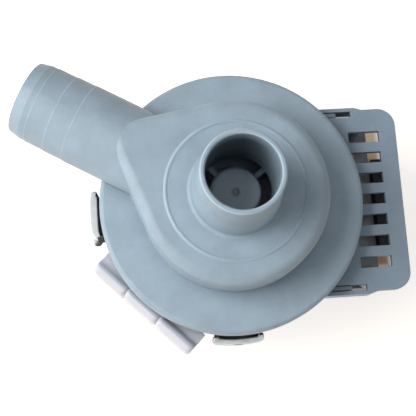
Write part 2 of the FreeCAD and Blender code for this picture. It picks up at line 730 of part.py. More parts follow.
def drive_dog():
    """Dog on the shaft that carries the impeller round after some free travel."""
    body = new_body("drive_dog")
    foot = f"({IMPELLER_FOOT} + hub_cover_thick + dog_gap)"
    top = f"({CHAMBER_TOP} - dog_gap)"
    revolve(body, "dog_hub", [("shaft_radius", foot), ("dog_hub", foot), ("dog_hub", top),
                              ("shaft_radius", top)])
    revolve(body, "dog_arm", [("dog_hub - 0.8", foot), ("dog_reach", foot), ("dog_reach", top),
                              ("dog_hub - 0.8", top)], angle="dog_width_angle")
    soften(body, "arm_edges", "0.5", lambda edge: len(edge.Vertexes) == 2
           and abs(edge.Vertexes[0].Z - edge.Vertexes[1].Z) > 1
           and abs(Vector(edge.Vertexes[0].X, edge.Vertexes[0].Y, 0).Length - number("dog_reach")) < 0.01)
    return body


def impeller():
    """Open impeller: four straight blades on a hub that holds the dog's chamber."""
    body = new_body("impeller")
    hub_top = f"({IMPELLER_FOOT} + hub_rise)"
    revolve(body, "hub", [("0", IMPELLER_FOOT), ("hub_radius", IMPELLER_FOOT), ("hub_radius", hub_top),
                          ("0", hub_top)])
    soften(body, "hub_edge", "hub_round", lambda edge: is_ring(edge, "hub_radius", hub_top))
    outline = new_sketch(body, "blade_outline", "XY_Plane", lift=f"{IMPELLER_FOOT} + blade_foot")
    corners = [turned(along, across, "blade_angle") for along, across in
               (("hub_radius - 1", "-blade_thick / 2"), ("blade_radius", "-blade_thick / 2"),
                ("blade_radius", "blade_thick / 2"), ("hub_radius - 1", "blade_thick / 2"))]
    polygon(outline, corners)
    blade = extrude(body, "blade", outline, "blade_height")
    around(body, "blades", [blade], "blade_count")
    shaft_bore = "(shaft_radius + bearing_clearance)"
    revolve(body, "chamber", [("0", f"{IMPELLER_FOOT} - 1"), ("hub_chamber", f"{IMPELLER_FOOT} - 1"),
                              ("hub_chamber", CHAMBER_TOP), (shaft_bore, CHAMBER_TOP),
                              (shaft_bore, "shaft_top + 1"), ("0", "shaft_top + 1")], cut=True)
    revolve(body, "gate_mark", [("0", f"{hub_top} - 0.4"), ("1.1", f"{hub_top} - 0.4"),
                                ("1.4", f"{hub_top} + 1"),
                                ("0", f"{hub_top} + 1")], cut=True)
    stop_foot = f"({IMPELLER_FOOT} + hub_cover_thick + dog_gap)"
    stop = revolve(body, "stop", [("stop_inner", stop_foot), ("hub_chamber + 0.5", stop_foot),
                                  ("hub_chamber + 0.5", f"{CHAMBER_TOP} + 0.5"),
                                  ("stop_inner", f"{CHAMBER_TOP} + 0.5")], angle="stop_width_angle")
    sketch = stop.Profile[0]
    turn = FreeCAD.Rotation(Vector(0, 1, 0), number(STOP_TURN))
    sketch.AttachmentOffset = FreeCAD.Placement(Vector(0, 0, 0), turn)
    sketch.setExpression("AttachmentOffset.Rotation.Angle", bound(STOP_TURN))
    cover = new_body("hub_cover")
    revolve(cover, "disc", [("shaft_hole", IMPELLER_FOOT), ("hub_chamber", IMPELLER_FOOT),
                            ("hub_chamber", f"{IMPELLER_FOOT} + hub_cover_thick"),
                            ("shaft_hole", f"{IMPELLER_FOOT} + hub_cover_thick")])
    return [body, cover]


# the stop lies ahead of the dog in the impeller's forward sense, a small gap away
STOP_TURN = "(dog_width_angle / 2 + stop_width_angle / 2 + dog_rest_gap)"


def stator_core():
    """U-shaped stack of laminations: two poles round the can, two legs and the yoke."""
    body = new_body("stator_core")
    outline = new_sketch(body, "core_outline", "XY_Plane", lift="stack_base")
    leg_outer = "(leg_offset + leg_width / 2)"
    half = [("-pole_reach", "pole_half_width - pole_corner"), ("pole_corner - pole_reach", "pole_half_width"),
            ("pole_reach - pole_corner / 2", "pole_half_width"), ("window_start", leg_outer),
            ("yoke_start", leg_outer), ("yoke_start", "yoke_half_width"), ("yoke_face", "yoke_half_width")]
    polygon(outline, half + [(along, f"-({across})") for along, across in reversed(half)])
    extrude(body, "core", outline, "stack_height")
    openings = new_sketch(body, "core_openings", "XY_Plane", lift=STACK_TOP)
    leg_inner = "(leg_offset - leg_width / 2)"
    polygon(openings, [("-pole_reach - 1", "-pole_gap / 2"), ("window_start", "-pole_gap / 2"),
                       ("window_start", f"-{leg_inner}"), ("yoke_start", f"-{leg_inner}"),
                       ("yoke_start", leg_inner), ("window_start", leg_inner),
                       ("window_start", "pole_gap / 2"), ("-pole_reach - 1", "pole_gap / 2")])
    extrude(body, "window", openings, "stack_height", cut=True)
    bore = new_sketch(body, "core_bore", "XY_Plane", lift=STACK_TOP)
    circle(bore, "0", "0", "stator_bore")
    extrude(body, "rotor_bore", bore, "stack_height", cut=True)
    holes = new_sketch(body, "core_holes", "XY_Plane", lift=STACK_TOP)
    for group in ("front", "yoke"):
        for side in ("", "-"):
            circle(holes, f"{group}_screw_x", f"{side}{group}_screw_y", "screw_hole")
    extrude(body, "screw_holes", holes, "stack_height", cut=True)
    return body


def coil(side, offset):
    """Bobbin on one leg of the core and the taped winding on it."""
    bobbin = new_body(f"{side}_bobbin")
    wide = "(leg_width / 2 + bobbin_fit + bobbin_wall)"
    low, high = "(stack_base - bobbin_fit - bobbin_wall)", f"({STACK_TOP} + bobbin_fit + bobbin_wall)"
    sleeve = new_sketch(bobbin, "sleeve_section", "YZ_Plane", lift="bobbin_start")
    rectangle(sleeve, f"-{wide}", wide, low, high)
    extrude(bobbin, "sleeve", sleeve, "bobbin_end - bobbin_start")
    rim = "(coil_depth + flange_rise)"
    for place, start in enumerate(("bobbin_start", "bobbin_end - bobbin_flange")):
        flange = new_sketch(bobbin, f"flange{place}_section", "YZ_Plane", lift=start)
        rectangle(flange, f"-{wide} - {rim}", f"{wide} + {rim}", f"{low} - {rim}", f"{high} + {rim}")
        extrude(bobbin, f"flange{place}", flange, "bobbin_flange")
    window = new_sketch(bobbin, "leg_window", "YZ_Plane", lift="bobbin_end")
    rectangle(window, "-leg_width / 2 - bobbin_fit", "leg_width / 2 + bobbin_fit",
              "stack_base - bobbin_fit", f"{STACK_TOP} + bobbin_fit")
    extrude(bobbin, "leg_slot", window, "bobbin_end - bobbin_start", cut=True)
    winding = new_body(f"{side}_winding")
    section = new_sketch(winding, "winding_section", "YZ_Plane", lift="bobbin_start + bobbin_flange")
    rectangle(section, f"-{wide} - coil_depth", f"{wide} + coil_depth",
              f"{low} - coil_depth", f"{high} + coil_depth")
    span = "bobbin_end - bobbin_start - 2 * bobbin_flange"
    extrude(winding, "turns", section, span)
    soften(winding, "turn_corners", "coil_round",
           lambda edge: abs(edge.Vertexes[0].X - edge.Vertexes[1].X) > 1)
    hollow = new_sketch(winding, "sleeve_hollow", "YZ_Plane", lift="bobbin_end - bobbin_flange")
    rectangle(hollow, f"-{wide}", wide, low, high)
    extrude(winding, "sleeve_space", hollow, span, cut=True)
    for body in (bobbin, winding):
        body.setExpression("Placement.Base.y", bound(offset))
    return [bobbin, winding]


def coil_end_cover():
    """Black cover behind the yoke, hooked under the stack by a lip."""
    body = new_body("coil_end_cover")
    box = new_sketch(body, "box_outline", "XY_Plane", lift="end_cover_base")
    rectangle(box, "yoke_face", "yoke_face + end_cover_depth",
              "-end_cover_half_width", "end_cover_half_width")
    extrude(body, "box", box, "end_cover_top - end_cover_base")
    soften(body, "box_edges", "end_cover_round", lambda edge: all(
        vertex.X > number("yoke_face + end_cover_depth") - 0.01 for vertex in edge.Vertexes))
    lip = new_sketch(body, "lip_outline", "XY_Plane", lift="end_cover_base")
    rectangle(lip, "yoke_face - end_cover_lip", "yoke_face + 1", "-end_cover_half_width / 2",
              "end_cover_half_width / 2")
    extrude(body, "lip", lip, "stack_base - end_cover_base")
    inside = new_sketch(body, "box_inside", "XY_Plane", lift="end_cover_top - end_cover_wall")
    rectangle(inside, "yoke_face + end_cover_wall", "yoke_face + end_cover_depth - end_cover_wall",
              "end_cover_wall - end_cover_half_width", "end_cover_half_width - end_cover_wall")
    extrude(body, "box_hollow", inside, "end_cover_top - end_cover_base", cut=True)
    return body


def mounting_bracket():
    """Pressed steel plate on the stack with three curved, upturned lugs and the block's tongue."""
    body = new_body("mounting_bracket")
    disc = new_sketch(body, "disc_outline", "XY_Plane", lift=STACK_TOP)
    circle(disc, "0", "0", "bracket_radius")
    circle(disc, "0", "0", "bracket_bore")
    extrude(body, "disc", disc, "bracket_sheet")
    edge_cut = new_sketch(body, "edge_cut", "XY_Plane", lift=BRACKET_TOP)
    rectangle(edge_cut, "bracket_edge", "bracket_radius + 1", "-bracket_radius", "bracket_radius")
    extrude(body, "straight_edge", edge_cut, "bracket_sheet", cut=True)
    around(body, "side_lugs", lug(body, "side", "YZ_Plane", "", "90"), "2")
    lug(body, "back", "XZ_Plane", "-", "180")
    bends, ends = [], []
    for group in ("side", "back"):
        inner = number(f"{group}_lug_inner")
        near = inner - number("lug_return")
        bends.append(inner + number("lug_sheet"))
        ends += [near, math.hypot(near, number("lug_sheet"))]
    soften(body, "lug_bends", "lug_bend", lambda edge: is_lug_edge(edge, bends, "lug_rise - 0.01"))
    soften(body, "lug_ends", "lug_end_round", lambda edge: is_lug_edge(edge, ends, "lug_rise / 2"))
    block_tongue = new_sketch(body, "block_tongue_outline", "XY_Plane", lift=STACK_TOP)
    near, far = "bracket_radius - 3", "block_inner + 2.8"
    polygon(block_tongue, [turned(along, across, "block_angle") for along, across in
                           ((near, "-tongue_half_width"), (far, "-tongue_half_width"),
                            (far, "tongue_half_width"), (near, "tongue_half_width"))])
    extrude(body, "block_tongue", block_tongue, "bracket_sheet")
    for role in ("XZ_Plane", "YZ_Plane"):
        hole = new_sketch(body, f"lug_hole_{role[:2]}", role)
        circle(hole, "0", f"{STACK_TOP} + lug_hole_rise", "lug_hole_radius")
        extrude(body, f"lug_holes_{role[:2]}", hole, "through", cut=True)
    holes = new_sketch(body, "bracket_holes", "XY_Plane", lift=BRACKET_TOP)
    for side in ("", "-"):
        circle(holes, "front_screw_x", f"{side}front_screw_y", "screw_hole")
    extrude(body, "screw_holes", holes, "bracket_sheet", cut=True)
    return body


def lug(body, group, role, side, middle):
    """Tongue and upturned lug that follows the flange, its ends turned in; middle is its direction."""
    inner = f"{group}_lug_inner"
    outer = f"({inner} + lug_sheet)"
    lug_top = f"({STACK_TOP} + lug_rise)"
    arm = new_sketch(body, f"{group}_arm_outline", "XY_Plane", lift=STACK_TOP)
    near, far = "bracket_radius - 3", f"{inner} + 1"
    polygon(arm, [turned(along, across, middle) for along, across in
                  ((near, "-tongue_half_width"), (far, "-tongue_half_width"),
                   (far, "tongue_half_width"), (near, "tongue_half_width"))])
    flat = extrude(body, f"{group}_arm", arm, "bracket_sheet")
    wall = revolve(body, f"{group}_lug", [(f"{side}{inner}", STACK_TOP), (f"{side}{outer}", STACK_TOP),
                                          (f"{side}{outer}", lug_top), (f"{side}{inner}", lug_top)],
                   role=role, angle="lug_angle")
    ends = new_sketch(body, f"{group}_end_outline", "XY_Plane", lift=STACK_TOP)
    for angle, low, high in ((f"{middle} + lug_angle / 2", "-lug_sheet", "0"),
                             (f"{middle} - lug_angle / 2", "0", "lug_sheet")):
        near, far = f"{inner} - lug_return", f"{outer} - lug_sheet / 4"
        polygon(ends, [turned(along, across, angle) for along, across in
                       ((near, low), (far, low), (far, high), (near, high))])
    return [flat, wall, extrude(body, f"{group}_ends", ends, "lug_rise")]


def is_lug_edge(edge, reaches, least):
    """True for an upright edge at one of several distances from the pump's axis and long enough."""
    ends = [vertex.Point for vertex in edge.Vertexes]
    return (len(ends) == 2 and abs(ends[0].z - ends[1].z) > number(least)
            and any(abs(math.hypot(end.x, end.y) - reach) < 0.01 for end in ends for reach in reaches))


def rear_cover():
    """Moulded shell round the coils, closed by the yoke at its far end, with a flat back."""
    body = new_body("rear_cover")
    revolve(body, "round_part", [("0", "0"), ("case_radius", "0"), ("case_radius", PLATE_UNDER),
                                 ("0", PLATE_UNDER)])
    straight = new_sketch(body, "straight_outline", "XY_Plane")
    rectangle(straight, "0", "case_reach", "-case_half_width", "case_half_width")
    extrude(body, "straight_part", straight, PLATE_UNDER)
    soften(body, "back_edge", "back_round", lambda edge: all(abs(vertex.Z) < 0.01 for vertex in edge.Vertexes)
           and abs(edge.BoundBox.Center.x - number("case_reach")) > 0.01)
    above = f"{PLATE_UNDER} + 1"
    revolve(body, "round_hollow", [("0", "back_thick"), ("case_radius - case_wall", "back_thick"),
                                   ("case_radius - case_wall", above), ("0", above)],
            cut=True)
    hollow = new_sketch(body, "straight_hollow_outline", "XY_Plane", lift=PLATE_UNDER)
    rectangle(hollow, "0", "case_reach + 1", "-case_inner", "case_inner")
    extrude(body, "straight_hollow", hollow, f"{PLATE_UNDER} - back_thick", cut=True)
    notches = new_sketch(body, "notch_outline", "XY_Plane", lift=STACK_TOP)
    lug_half = "(tongue_half_width + notch_clearance)"
    places = (("90", lug_half), ("180", lug_half), ("270", lug_half), ("block_angle", "block_notch"))
    for angle, half in places:
        polygon(notches, [turned(along, across, angle) for along, across in
                          (("case_radius - case_wall - 12", f"-{half}"), ("case_radius + 3", f"-{half}"),
                           ("case_radius + 3", half), ("case_radius - case_wall - 12", half))])
    extrude(body, "notches", notches, f"{PLATE_UNDER} - {STACK_TOP} + 1", cut=True, reverse=True)
    back_bosses(body)
    vent = new_sketch(body, "back_vent_outline", "XY_Plane", lift="back_thick")
    first = "2 * back_vent_pitch"
    start = "(bobbin_start + 2)"
    rectangle(vent, start, f"{start} + back_vent_length", f"{first} - back_vent_width / 2",
              f"{first} + back_vent_width / 2")
    slot = extrude(body, "back_vent", vent, "back_thick", cut=True)
    along_y(body, "back_vents", slot, "4 * back_vent_pitch", 5)
    near = "(side_slot_inner + snap_clearance)"
    far = "(side_slot_inner + side_slot_width - snap_clearance)"
    for part, inner, height in (("foot", "(case_half_width - 0.5)", "snap_drop - yoke_clearance"),
                                ("tongue", near, "snap_drop + snap_rise")):
        snaps = new_sketch(body, f"snap_{part}_outline", "XY_Plane", lift=f"{PLATE_UNDER} - snap_drop")
        rectangle(snaps, "snap_start", "snap_end", inner, far)
        rectangle(snaps, "snap_start", "snap_end", f"-{far}", f"-{inner}")
        extrude(body, f"snap_{part}", snaps, height)
    return body


def back_bosses(body):
    """Two screw pillars under the poles with recessed heads."""
    pillars = new_sketch(body, "pillar_outline", "XY_Plane")
    holes = new_sketch(body, "pillar_holes", "XY_Plane", lift="stack_base")
    heads = new_sketch(body, "head_recesses", "XY_Plane")
    for side in ("", "-"):
        place = ("front_screw_x", f"{side}front_screw_y")
        circle(pillars, *place, "back_boss_radius")
        circle(holes, *place, "screw_hole")
        circle(heads, *place, "screw_head_radius + 0.3")
    extrude(body, "pillars", pillars, "stack_base")
    extrude(body, "pillar_bores", holes, "stack_base", cut=True)
    extrude(body, "head_seats", heads, "screw_head_height + 0.4", cut=True, reverse=True)


def motor_screws():
    """Long pair from the flat back and short pair from under the yoke, into the housing's bosses."""
    pairs = []
    for group, seat, foot in (("front", "(screw_head_height + 0.4)", BRACKET_TOP),
                              ("yoke", "stack_base", STACK_TOP)):
        screws = [screw(f"{group}_screw{place}", (f"{group}_screw_x", f"{side}{group}_screw_y"),
                        f"({seat} - screw_head_height)", f"{foot} + screw_grip")
                  for place, side in enumerate(("", "-"))]
        pairs.append(compound(f"{group}_screws", screws))
    return pairs


def screw(name, place, foot, tip):
    """Pan-head screw, head down."""
    parts = []
    for part, radius, height in (("head", "screw_head_radius", "screw_head_height"),
                                 ("shank", "screw_radius", f"{tip} - {foot}")):
        cylinder = doc.addObject("Part::Cylinder", f"{name}_{part}")
        cylinder.setExpression("Radius", bound(radius))
        cylinder.setExpression("Height", bound(height))
        parts.append(cylinder)
    slots = []
    for part, long_side, short_side in (("slot_x", "4.4", "0.9"), ("slot_y", "0.9", "4.4")):
        box = doc.addObject("Part::Box", f"{name}_{part}")
        for name_of_side, length in (("Length", long_side), ("Width", short_side), ("Height", "1.5")):
            setattr(box, name_of_side, float(length))
        box.setExpression("Placement.Base.x", bound(f"{place[0]} - {long_side} / 2"))
        box.setExpression("Placement.Base.y", bound(f"{place[1]} - {short_side} / 2"))
        box.setExpression("Placement.Base.z", bound(f"{foot} - 0.4"))
        slots.append(box)
    for cylinder in parts:
        for axis, text in zip("xyz", (*place, foot)):
            cylinder.setExpression(f"Placement.Base.{axis}", bound(text))
    whole = doc.addObject("Part::MultiFuse", f"{name}_whole")
    whole.Shapes = parts
    cross = doc.addObject("Part::MultiFuse", f"{name}_cross")
    cross.Shapes = slots
    finished = doc.addObject("Part::Cut", name)
    finished.Base, finished.Tool = whole, cross
    return finished


def terminal_block():
    """White block with three bays; +X points away from the pump axis here."""
    body = new_body("terminal_block")
    outline = new_sketch(body, "block_outline", "XY_Plane", lift="block_base")
    rectangle(outline, "block_inner", "block_outer", "block_left", "block_right")
    extrude(body, "block", outline, "block_top - block_base")
    soften(body, "block_corners", "block_corner",
           lambda edge: is_upright(edge, "block_outer", "block_left")
           or is_upright(edge, "block_outer", "block_right"))
    soften(body, "rib_edge", "rib_round", lambda edge: all(
        abs(vertex.Z - number("block_top")) < 0.01 for vertex in edge.Vertexes)
        and edge.BoundBox.Center.x > number("block_outer") - 2)
    notches = new_sketch(body, "notch_outline", "XY_Plane", lift="block_top")
    for notch in ("first_notch", "second_notch"):
        polygon(notches, [("block_outer - block_notch_depth", notch),
                          ("block_outer + block_notch_depth", f"{notch} - block_notch_width"),
                          ("block_outer + block_notch_depth", f"{notch} + block_notch_width")])
    extrude(body, "lobe_notches", notches, "block_top - block_base", cut=True)
    under_collar = new_sketch(body, "under_collar_outline", "XY_Plane", lift="block_top")
    rectangle(under_collar, "block_inner - 1", "collar_radius + rib_clearance",
              "block_left - 1", "block_right + 1")
    extrude(body, "under_collar", under_collar, f"block_top - {PLATE_UNDER} + rib_clearance", cut=True)
    top = new_sketch(body, "recess_outline", "XY_Plane", lift="block_top")
    rectangle(top, "block_inner - 1", "block_outer - rib_width",
              "block_left - 1", "block_left + recess_length")
    extrude(body, "first_recess", top, "first_recess", cut=True)
    end = new_sketch(body, "end_recess_outline", "XY_Plane", lift="block_top")
    rectangle(end, "block_inner - 1", "block_outer - rib_width",
              "block_right - recess_length", "block_right + 1")
    extrude(body, "third_recess", end, "third_recess", cut=True)
    bays = new_sketch(body, "bay_outline", "XY_Plane", lift="block_base")
    for place in BAYS:
        rectangle(bays, "bay_inner", "bay_inner + bay_depth",
                  f"{place} - bay_width / 2", f"{place} + bay_width / 2")
    extrude(body, "bays", bays, "bay_height", cut=True, reverse=True)
    slot = new_sketch(body, "tongue_slot_outline", "XY_Plane", lift=f"{STACK_TOP} - 0.1")
    rectangle(slot, "block_inner - 1", "block_inner + tongue_slot_depth", "-tongue_half_width - 0.3",
              "tongue_half_width + 0.3")
    extrude(body, "tongue_slot", slot, "bracket_sheet + 0.2", cut=True, reverse=True)
    holes = new_sketch(body, "lead_hole_outline", "YZ_Plane", lift="block_inner - 1")
    for place in LEADS:
        circle(holes, place, "lead_height", "lead_hole_radius")
    extrude(body, "lead_holes", holes, "bay_inner - block_inner + 1.5", cut=True, reverse=True)
    turn_body(body, "block_angle")
    return body


# bay centres and lead holes along the block
BAYS = ("-bay_pitch", "0", "bay_pitch + 0.8")
LEADS = ("-bay_pitch + 2.5", "0", "bay_pitch - 2.5")


def terminals():
    """Flat tabs in the bays, each with a leg that takes its lead."""
    made = []
    for name, bay, lead in zip(("neutral", "line", "earth"), BAYS, LEADS):
        body = new_body(f"{name}_terminal")
        ceiling = "(block_base + bay_height)"
        middle = "(bay_inner + bay_depth / 2)"
        blade = new_sketch(body, "blade_outline", "XY_Plane", lift=f"{ceiling} - tab_drop")
        rectangle(blade, f"{middle} - tab_thick / 2", f"{middle} + tab_thick / 2",
                  f"{bay} - tab_width / 2", f"{bay} + tab_width / 2")
        extrude(body, "blade", blade, "tab_drop")
        leg = new_sketch(body, "leg_outline", "XY_Plane", lift="lead_height - tab_thick / 2")
        rectangle(leg, "leg_reach", f"{middle}", f"{lead} - leg_wide / 2", f"{lead} + leg_wide / 2")
        extrude(body, "leg", leg, "tab_thick")
        turn_body(body, "block_angle")
        made.append(body)
    return made


def block_point(along, across):
    """Point in the pump's frame of a place in the block's frame, at the leads' height."""
    x, y = turned(along, across, "block_angle")
    return (x, y, "lead_height")


def leads():
    """Insulated leads from the block: two to the coils and the earth lead to the bracket."""
    coil_top = f"({STACK_TOP} + bobbin_fit + bobbin_wall + 3)"
    routes = {
        "neutral_lead": [block_point("leg_reach", LEADS[0]), block_point("leg_reach - 8", LEADS[0]),
                         ("-27", "2", "lead_height + 1"),
                         ("front_screw_x - 9", "front_screw_y + 2", "lead_height + 1"),
                         ("front_screw_x + 7", "front_screw_y + 11", "lead_height + 1"),
                         ("9", "leg_offset + 7", "lead_height"),
                         ("bobbin_start - 5", "leg_offset + 3", coil_top),
                         ("bobbin_start", "leg_offset + 3", coil_top)],
        "line_lead": [block_point("leg_reach", LEADS[1]), block_point("leg_reach - 7", LEADS[1]),
                      ("front_screw_x - 2", "-front_screw_y - 8.5", "lead_height + 1"),
                      ("front_screw_x + 13", "-front_screw_y - 9.5", "lead_height + 1"),
                      ("9", "-leg_offset - 7", "lead_height"),
                      ("bobbin_start - 5", "-leg_offset - 3", coil_top),
                      ("bobbin_start", "-leg_offset - 3", coil_top)],
        "earth_lead": [block_point("leg_reach", LEADS[2]), block_point("leg_reach - 6", LEADS[2]),
                       ("-8", "-(case_radius - 7)", "lead_height - 0.5"),
                       ("-8", "-(case_radius - 7)", BRACKET_TOP)],
    }
    return [lead(name, route) for name, route in routes.items()]


def lead(name, route):
    """Round tube along straight runs joined by tangent arcs, each as large as its runs allow."""
    points = [Vector(*(number(text) for text in point)) for point in route]
    radius = number("lead_radius")
    edges = []
    bends = []
    start = points[0]
    for before, corner, after in zip(points, points[1:], points[2:]):
        inward, onward = (before - corner).normalize(), (after - corner).normalize()
        half = inward.getAngle(onward) / 2
        reach = 0.45 * min((before - corner).Length, (after - corner).Length)
        begin, finish = corner + inward * reach, corner + onward * reach
        towards_centre = (inward + onward).normalize()
        bends.append(reach * math.tan(half))
        middle = corner + towards_centre * (reach / math.cos(half) - bends[-1])
        edges.append(Part.LineSegment(start, begin).toShape())
        edges.append(Part.Arc(begin, middle, finish).toShape())
        start = finish
    edges.append(Part.LineSegment(start, points[-1]).toShape())
    path = Part.Wire(edges)
    section = Part.Wire([Part.Circle(points[0], points[1] - points[0], radius).toShape()])
    feature = doc.addObject("Part::Feature", name)
    feature.Label = name
    feature.Shape = path.makePipeShell([section], True, False)
    expected = math.pi * radius ** 2 * path.Length
    if abs(feature.Shape.Volume / expected - 1) > 0.02:
        raise RuntimeError(f"{name}: tube volume {feature.Shape.Volume:.1f}, expected {expected:.1f}")
    print(f"{name}: smallest bend {min(bends):.1f} mm, length {path.Length:.0f} mm")
    return feature


def check(nodes):
    """Stop if a feature failed, a cut removed nothing or a shape isn't sound."""
    for item in doc.Objects:
        if "Invalid" in item.State or "Error" in item.State:
            raise RuntimeError(f"{item.Name} failed: {item.State}")
        if item.TypeId in ("PartDesign::Pocket", "PartDesign::Groove", "PartDesign::SubtractiveLoft"):
            removed = item.BaseFeature.Shape.Volume - item.Shape.Volume
            if removed < 0.01:
                raise RuntimeError(f"{item.Name} cuts nothing")
    for node in nodes:
        if node.Shape.isNull() or not node.Shape.isValid():
            raise RuntimeError(f"{node.Label} has no sound shape")


def build():
    fill_sheet()
    nodes = [volute_cover(), cover_seal(), motor_housing(), bearing_retainer()]
    nodes += bearing_set("front", FRONT_BEARING, floor_below=False)
    nodes += bearing_set("rear", REAR_BEARING, floor_below=True)
    nodes += rotor()
    nodes.append(drive_dog())
    nodes += impeller()
    nodes.append(stator_core())
    nodes += coil("left", "leg_offset")
    nodes += coil("right", "-leg_offset")
    nodes += [coil_end_cover(), mounting_bracket(), rear_cover(), terminal_block()]
    nodes += motor_screws()
    nodes += terminals()
    nodes += leads()
    doc.recompute()
    check(nodes)
    os.makedirs("parts", exist_ok=True)
    for node in nodes:
        node.Shape.exportStep(f"parts/{node.Label}.step")
        box = node.Shape.BoundBox
        print(f"{node.Label}: {len(node.Shape.Solids)} solid(s), {node.Shape.Volume:.0f} mm3, "
              f"z {box.ZMin:.1f} to {box.ZMax:.1f}")


build()
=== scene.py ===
"""Drain pump, dressed for its picture: moulded grey plastic, steel bracket, laminated core and leads.

Lengths are in metres, in the frame of the solids: the pump's axis is Z and its flat back lies at 0.
"""

import math

import bmesh
import bpy
from mathutils import Matrix, Vector


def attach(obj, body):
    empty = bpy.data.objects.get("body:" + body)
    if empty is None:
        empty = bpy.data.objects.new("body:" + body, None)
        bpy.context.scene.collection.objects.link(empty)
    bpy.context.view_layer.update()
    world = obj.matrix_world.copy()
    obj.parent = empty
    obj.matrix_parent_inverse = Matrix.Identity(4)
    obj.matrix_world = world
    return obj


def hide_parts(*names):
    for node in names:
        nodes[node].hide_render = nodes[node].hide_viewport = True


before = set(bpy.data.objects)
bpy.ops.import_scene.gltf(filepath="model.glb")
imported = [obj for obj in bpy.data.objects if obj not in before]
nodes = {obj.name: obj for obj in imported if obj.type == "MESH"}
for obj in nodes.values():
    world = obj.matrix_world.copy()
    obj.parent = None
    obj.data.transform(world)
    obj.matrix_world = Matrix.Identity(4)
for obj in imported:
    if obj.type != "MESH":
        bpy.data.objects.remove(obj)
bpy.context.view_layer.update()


# ---------------------------------------------------------------- sizes of the solids that the dress follows

INLET_MOUTH = 0.1128
INLET_BORE = 0.0131
RIM_MIDDLE = 0.01405
RIM_CHAMFER = 0.0005
VOLUTE_TOP = 0.0828
RING_RADIUS = 0.026

LUG_FOOT = 0.0380
LUG_HEIGHT = 0.0080
LUG_SHEET = 0.0020
LUG_HALF_ANGLE = math.radians(11)
BACK_LUG_INNER = 0.0537
SIDE_LUG_INNER = 0.0517
LUG_HOOK = 0.0079

SHEET_THICKNESS = 0.0005
TAPE_PITCH = 0.0052
WIRE_PITCH = 0.00045

# ---------------------------------------------------------------- camera and lamps

CAMERA_PLACE = (-0.0341, -0.0744, 0.4377)
CAMERA_BACK = (-0.0641, -0.1885, 0.9800)
CAMERA_RIGHT = (0.9963, -0.0692, 0.0518)
CAMERA_LENS = 86.54
LAMPS_AIM = (-0.01, 0, 0.05)
LAMPS = (
    # name, place, width, power, colour
    ("window", (-0.62, 0.10, 0.76), 0.60, 6.7, (1.0, 0.985, 0.96)),
    ("low window", (-0.95, -0.10, 0.30), 0.50, 2.4, (0.96, 0.98, 1.0)),
    ("table bounce", (-0.10, -0.90, 0.16), 0.60, 1.6, (1.0, 0.86, 0.76)),
    ("ceiling", (0.02, -0.02, 1.10), 0.50, 0.7, (0.95, 0.98, 1.0)),
)


def set_camera():
    """A long lens above the pump, a little to the left of its axis and below it in the picture."""
    back = Vector(CAMERA_BACK).normalized()
    up = back.cross(Vector(CAMERA_RIGHT)).normalized()
    right = up.cross(back)
    lens = bpy.data.cameras.new("camera")
    lens.lens = CAMERA_LENS
    lens.sensor_width = 36
    lens.clip_start = 0.01
    lens.clip_end = 20
    camera = bpy.data.objects.new("camera", lens)
    turn = Matrix((right, up, back)).transposed().to_4x4()
    camera.matrix_world = Matrix.Translation(CAMERA_PLACE) @ turn
    bpy.context.scene.collection.objects.link(camera)
    bpy.context.scene.camera = camera


def softbox(name, place, width, power, colour):
    """A square lamp that points at the middle of the pump."""
    light = bpy.data.lights.new(name, "AREA")
    light.size = width
    light.energy = power
    light.color = colour
    lamp = bpy.data.objects.new(name, light)
    lamp.location = place
    lamp.rotation_mode = "QUATERNION"
    lamp.rotation_quaternion = (Vector(LAMPS_AIM) - Vector(place)).to_track_quat("-Z", "Y")
    bpy.context.scene.collection.objects.link(lamp)


# ---------------------------------------------------------------- node helpers

def node(tree, kind, inputs=None, **settings):
    """Adds a shader node; each input is a value or another node's socket."""
    made = tree.nodes.new("ShaderNode" + kind)
    for name, value in settings.items():
        setattr(made, name, value)
    feed(tree, made, inputs or {})
    return made


def feed(tree, made, inputs):
    """Gives a node's inputs their values or links."""
    for name, value in inputs.items():
        if isinstance(value, bpy.types.NodeSocket):
            tree.links.new(value, made.inputs[name])
        else:
            made.inputs[name].default_value = value


def maths(tree, operation, first, second=0.0, third=0.0):
    """One sum of a Math node."""
    return node(tree, "Math", {0: first, 1: second, 2: third}, operation=operation).outputs[0]


def times(tree, first, second):
    """Product of two values."""
    return maths(tree, "MULTIPLY", first, second)


def times_add(tree, value, by, plus):
    """A value, times a number, added to another value."""
    return maths(tree, "MULTIPLY_ADD", value, by, plus)


def blend(tree, share, first, second):
    """Mixes two colours."""
    return node(tree, "Mix", {0: share, 6: first, 7: second}, data_type="RGBA").outputs[2]


def coat(tree, paint, mask, share, colour):
    """Lays a colour over the paint where the mask says, no stronger than the share."""
    return blend(tree, times(tree, mask, share), paint, colour)


def graded(tree, value, low, high, to_low=0.0, to_high=1.0):
    """Carries a value's range from low..high over to another range, and holds it there."""
    return node(tree, "MapRange", {"Value": value, "From Min": low, "From Max": high,
                                   "To Min": to_low, "To Max": to_high}).outputs["Result"]


def turned(tree, place, scale, turn=(0, 0, 0)):
    """The place, scaled and turned, for drawn-out textures."""
    return node(tree, "Mapping", {"Vector": place, "Scale": scale, "Rotation": turn}).outputs["Vector"]


def noise(tree, place, scale, detail=2.0, rough=0.5):
    """Soft noise, from 0 to 1."""
    return node(tree, "TexNoise", {"Vector": place, "Scale": scale, "Detail": detail,
                                   "Roughness": rough}).outputs[0]


def parts_of(tree, vector):
    """X, Y and Z of a vector."""
    return node(tree, "SeparateXYZ", {0: vector}).outputs


def facing_up(tree):
    """How far the surface faces up, from -1 to 1."""
    return parts_of(tree, node(tree, "NewGeometry").outputs["Normal"])["Z"]


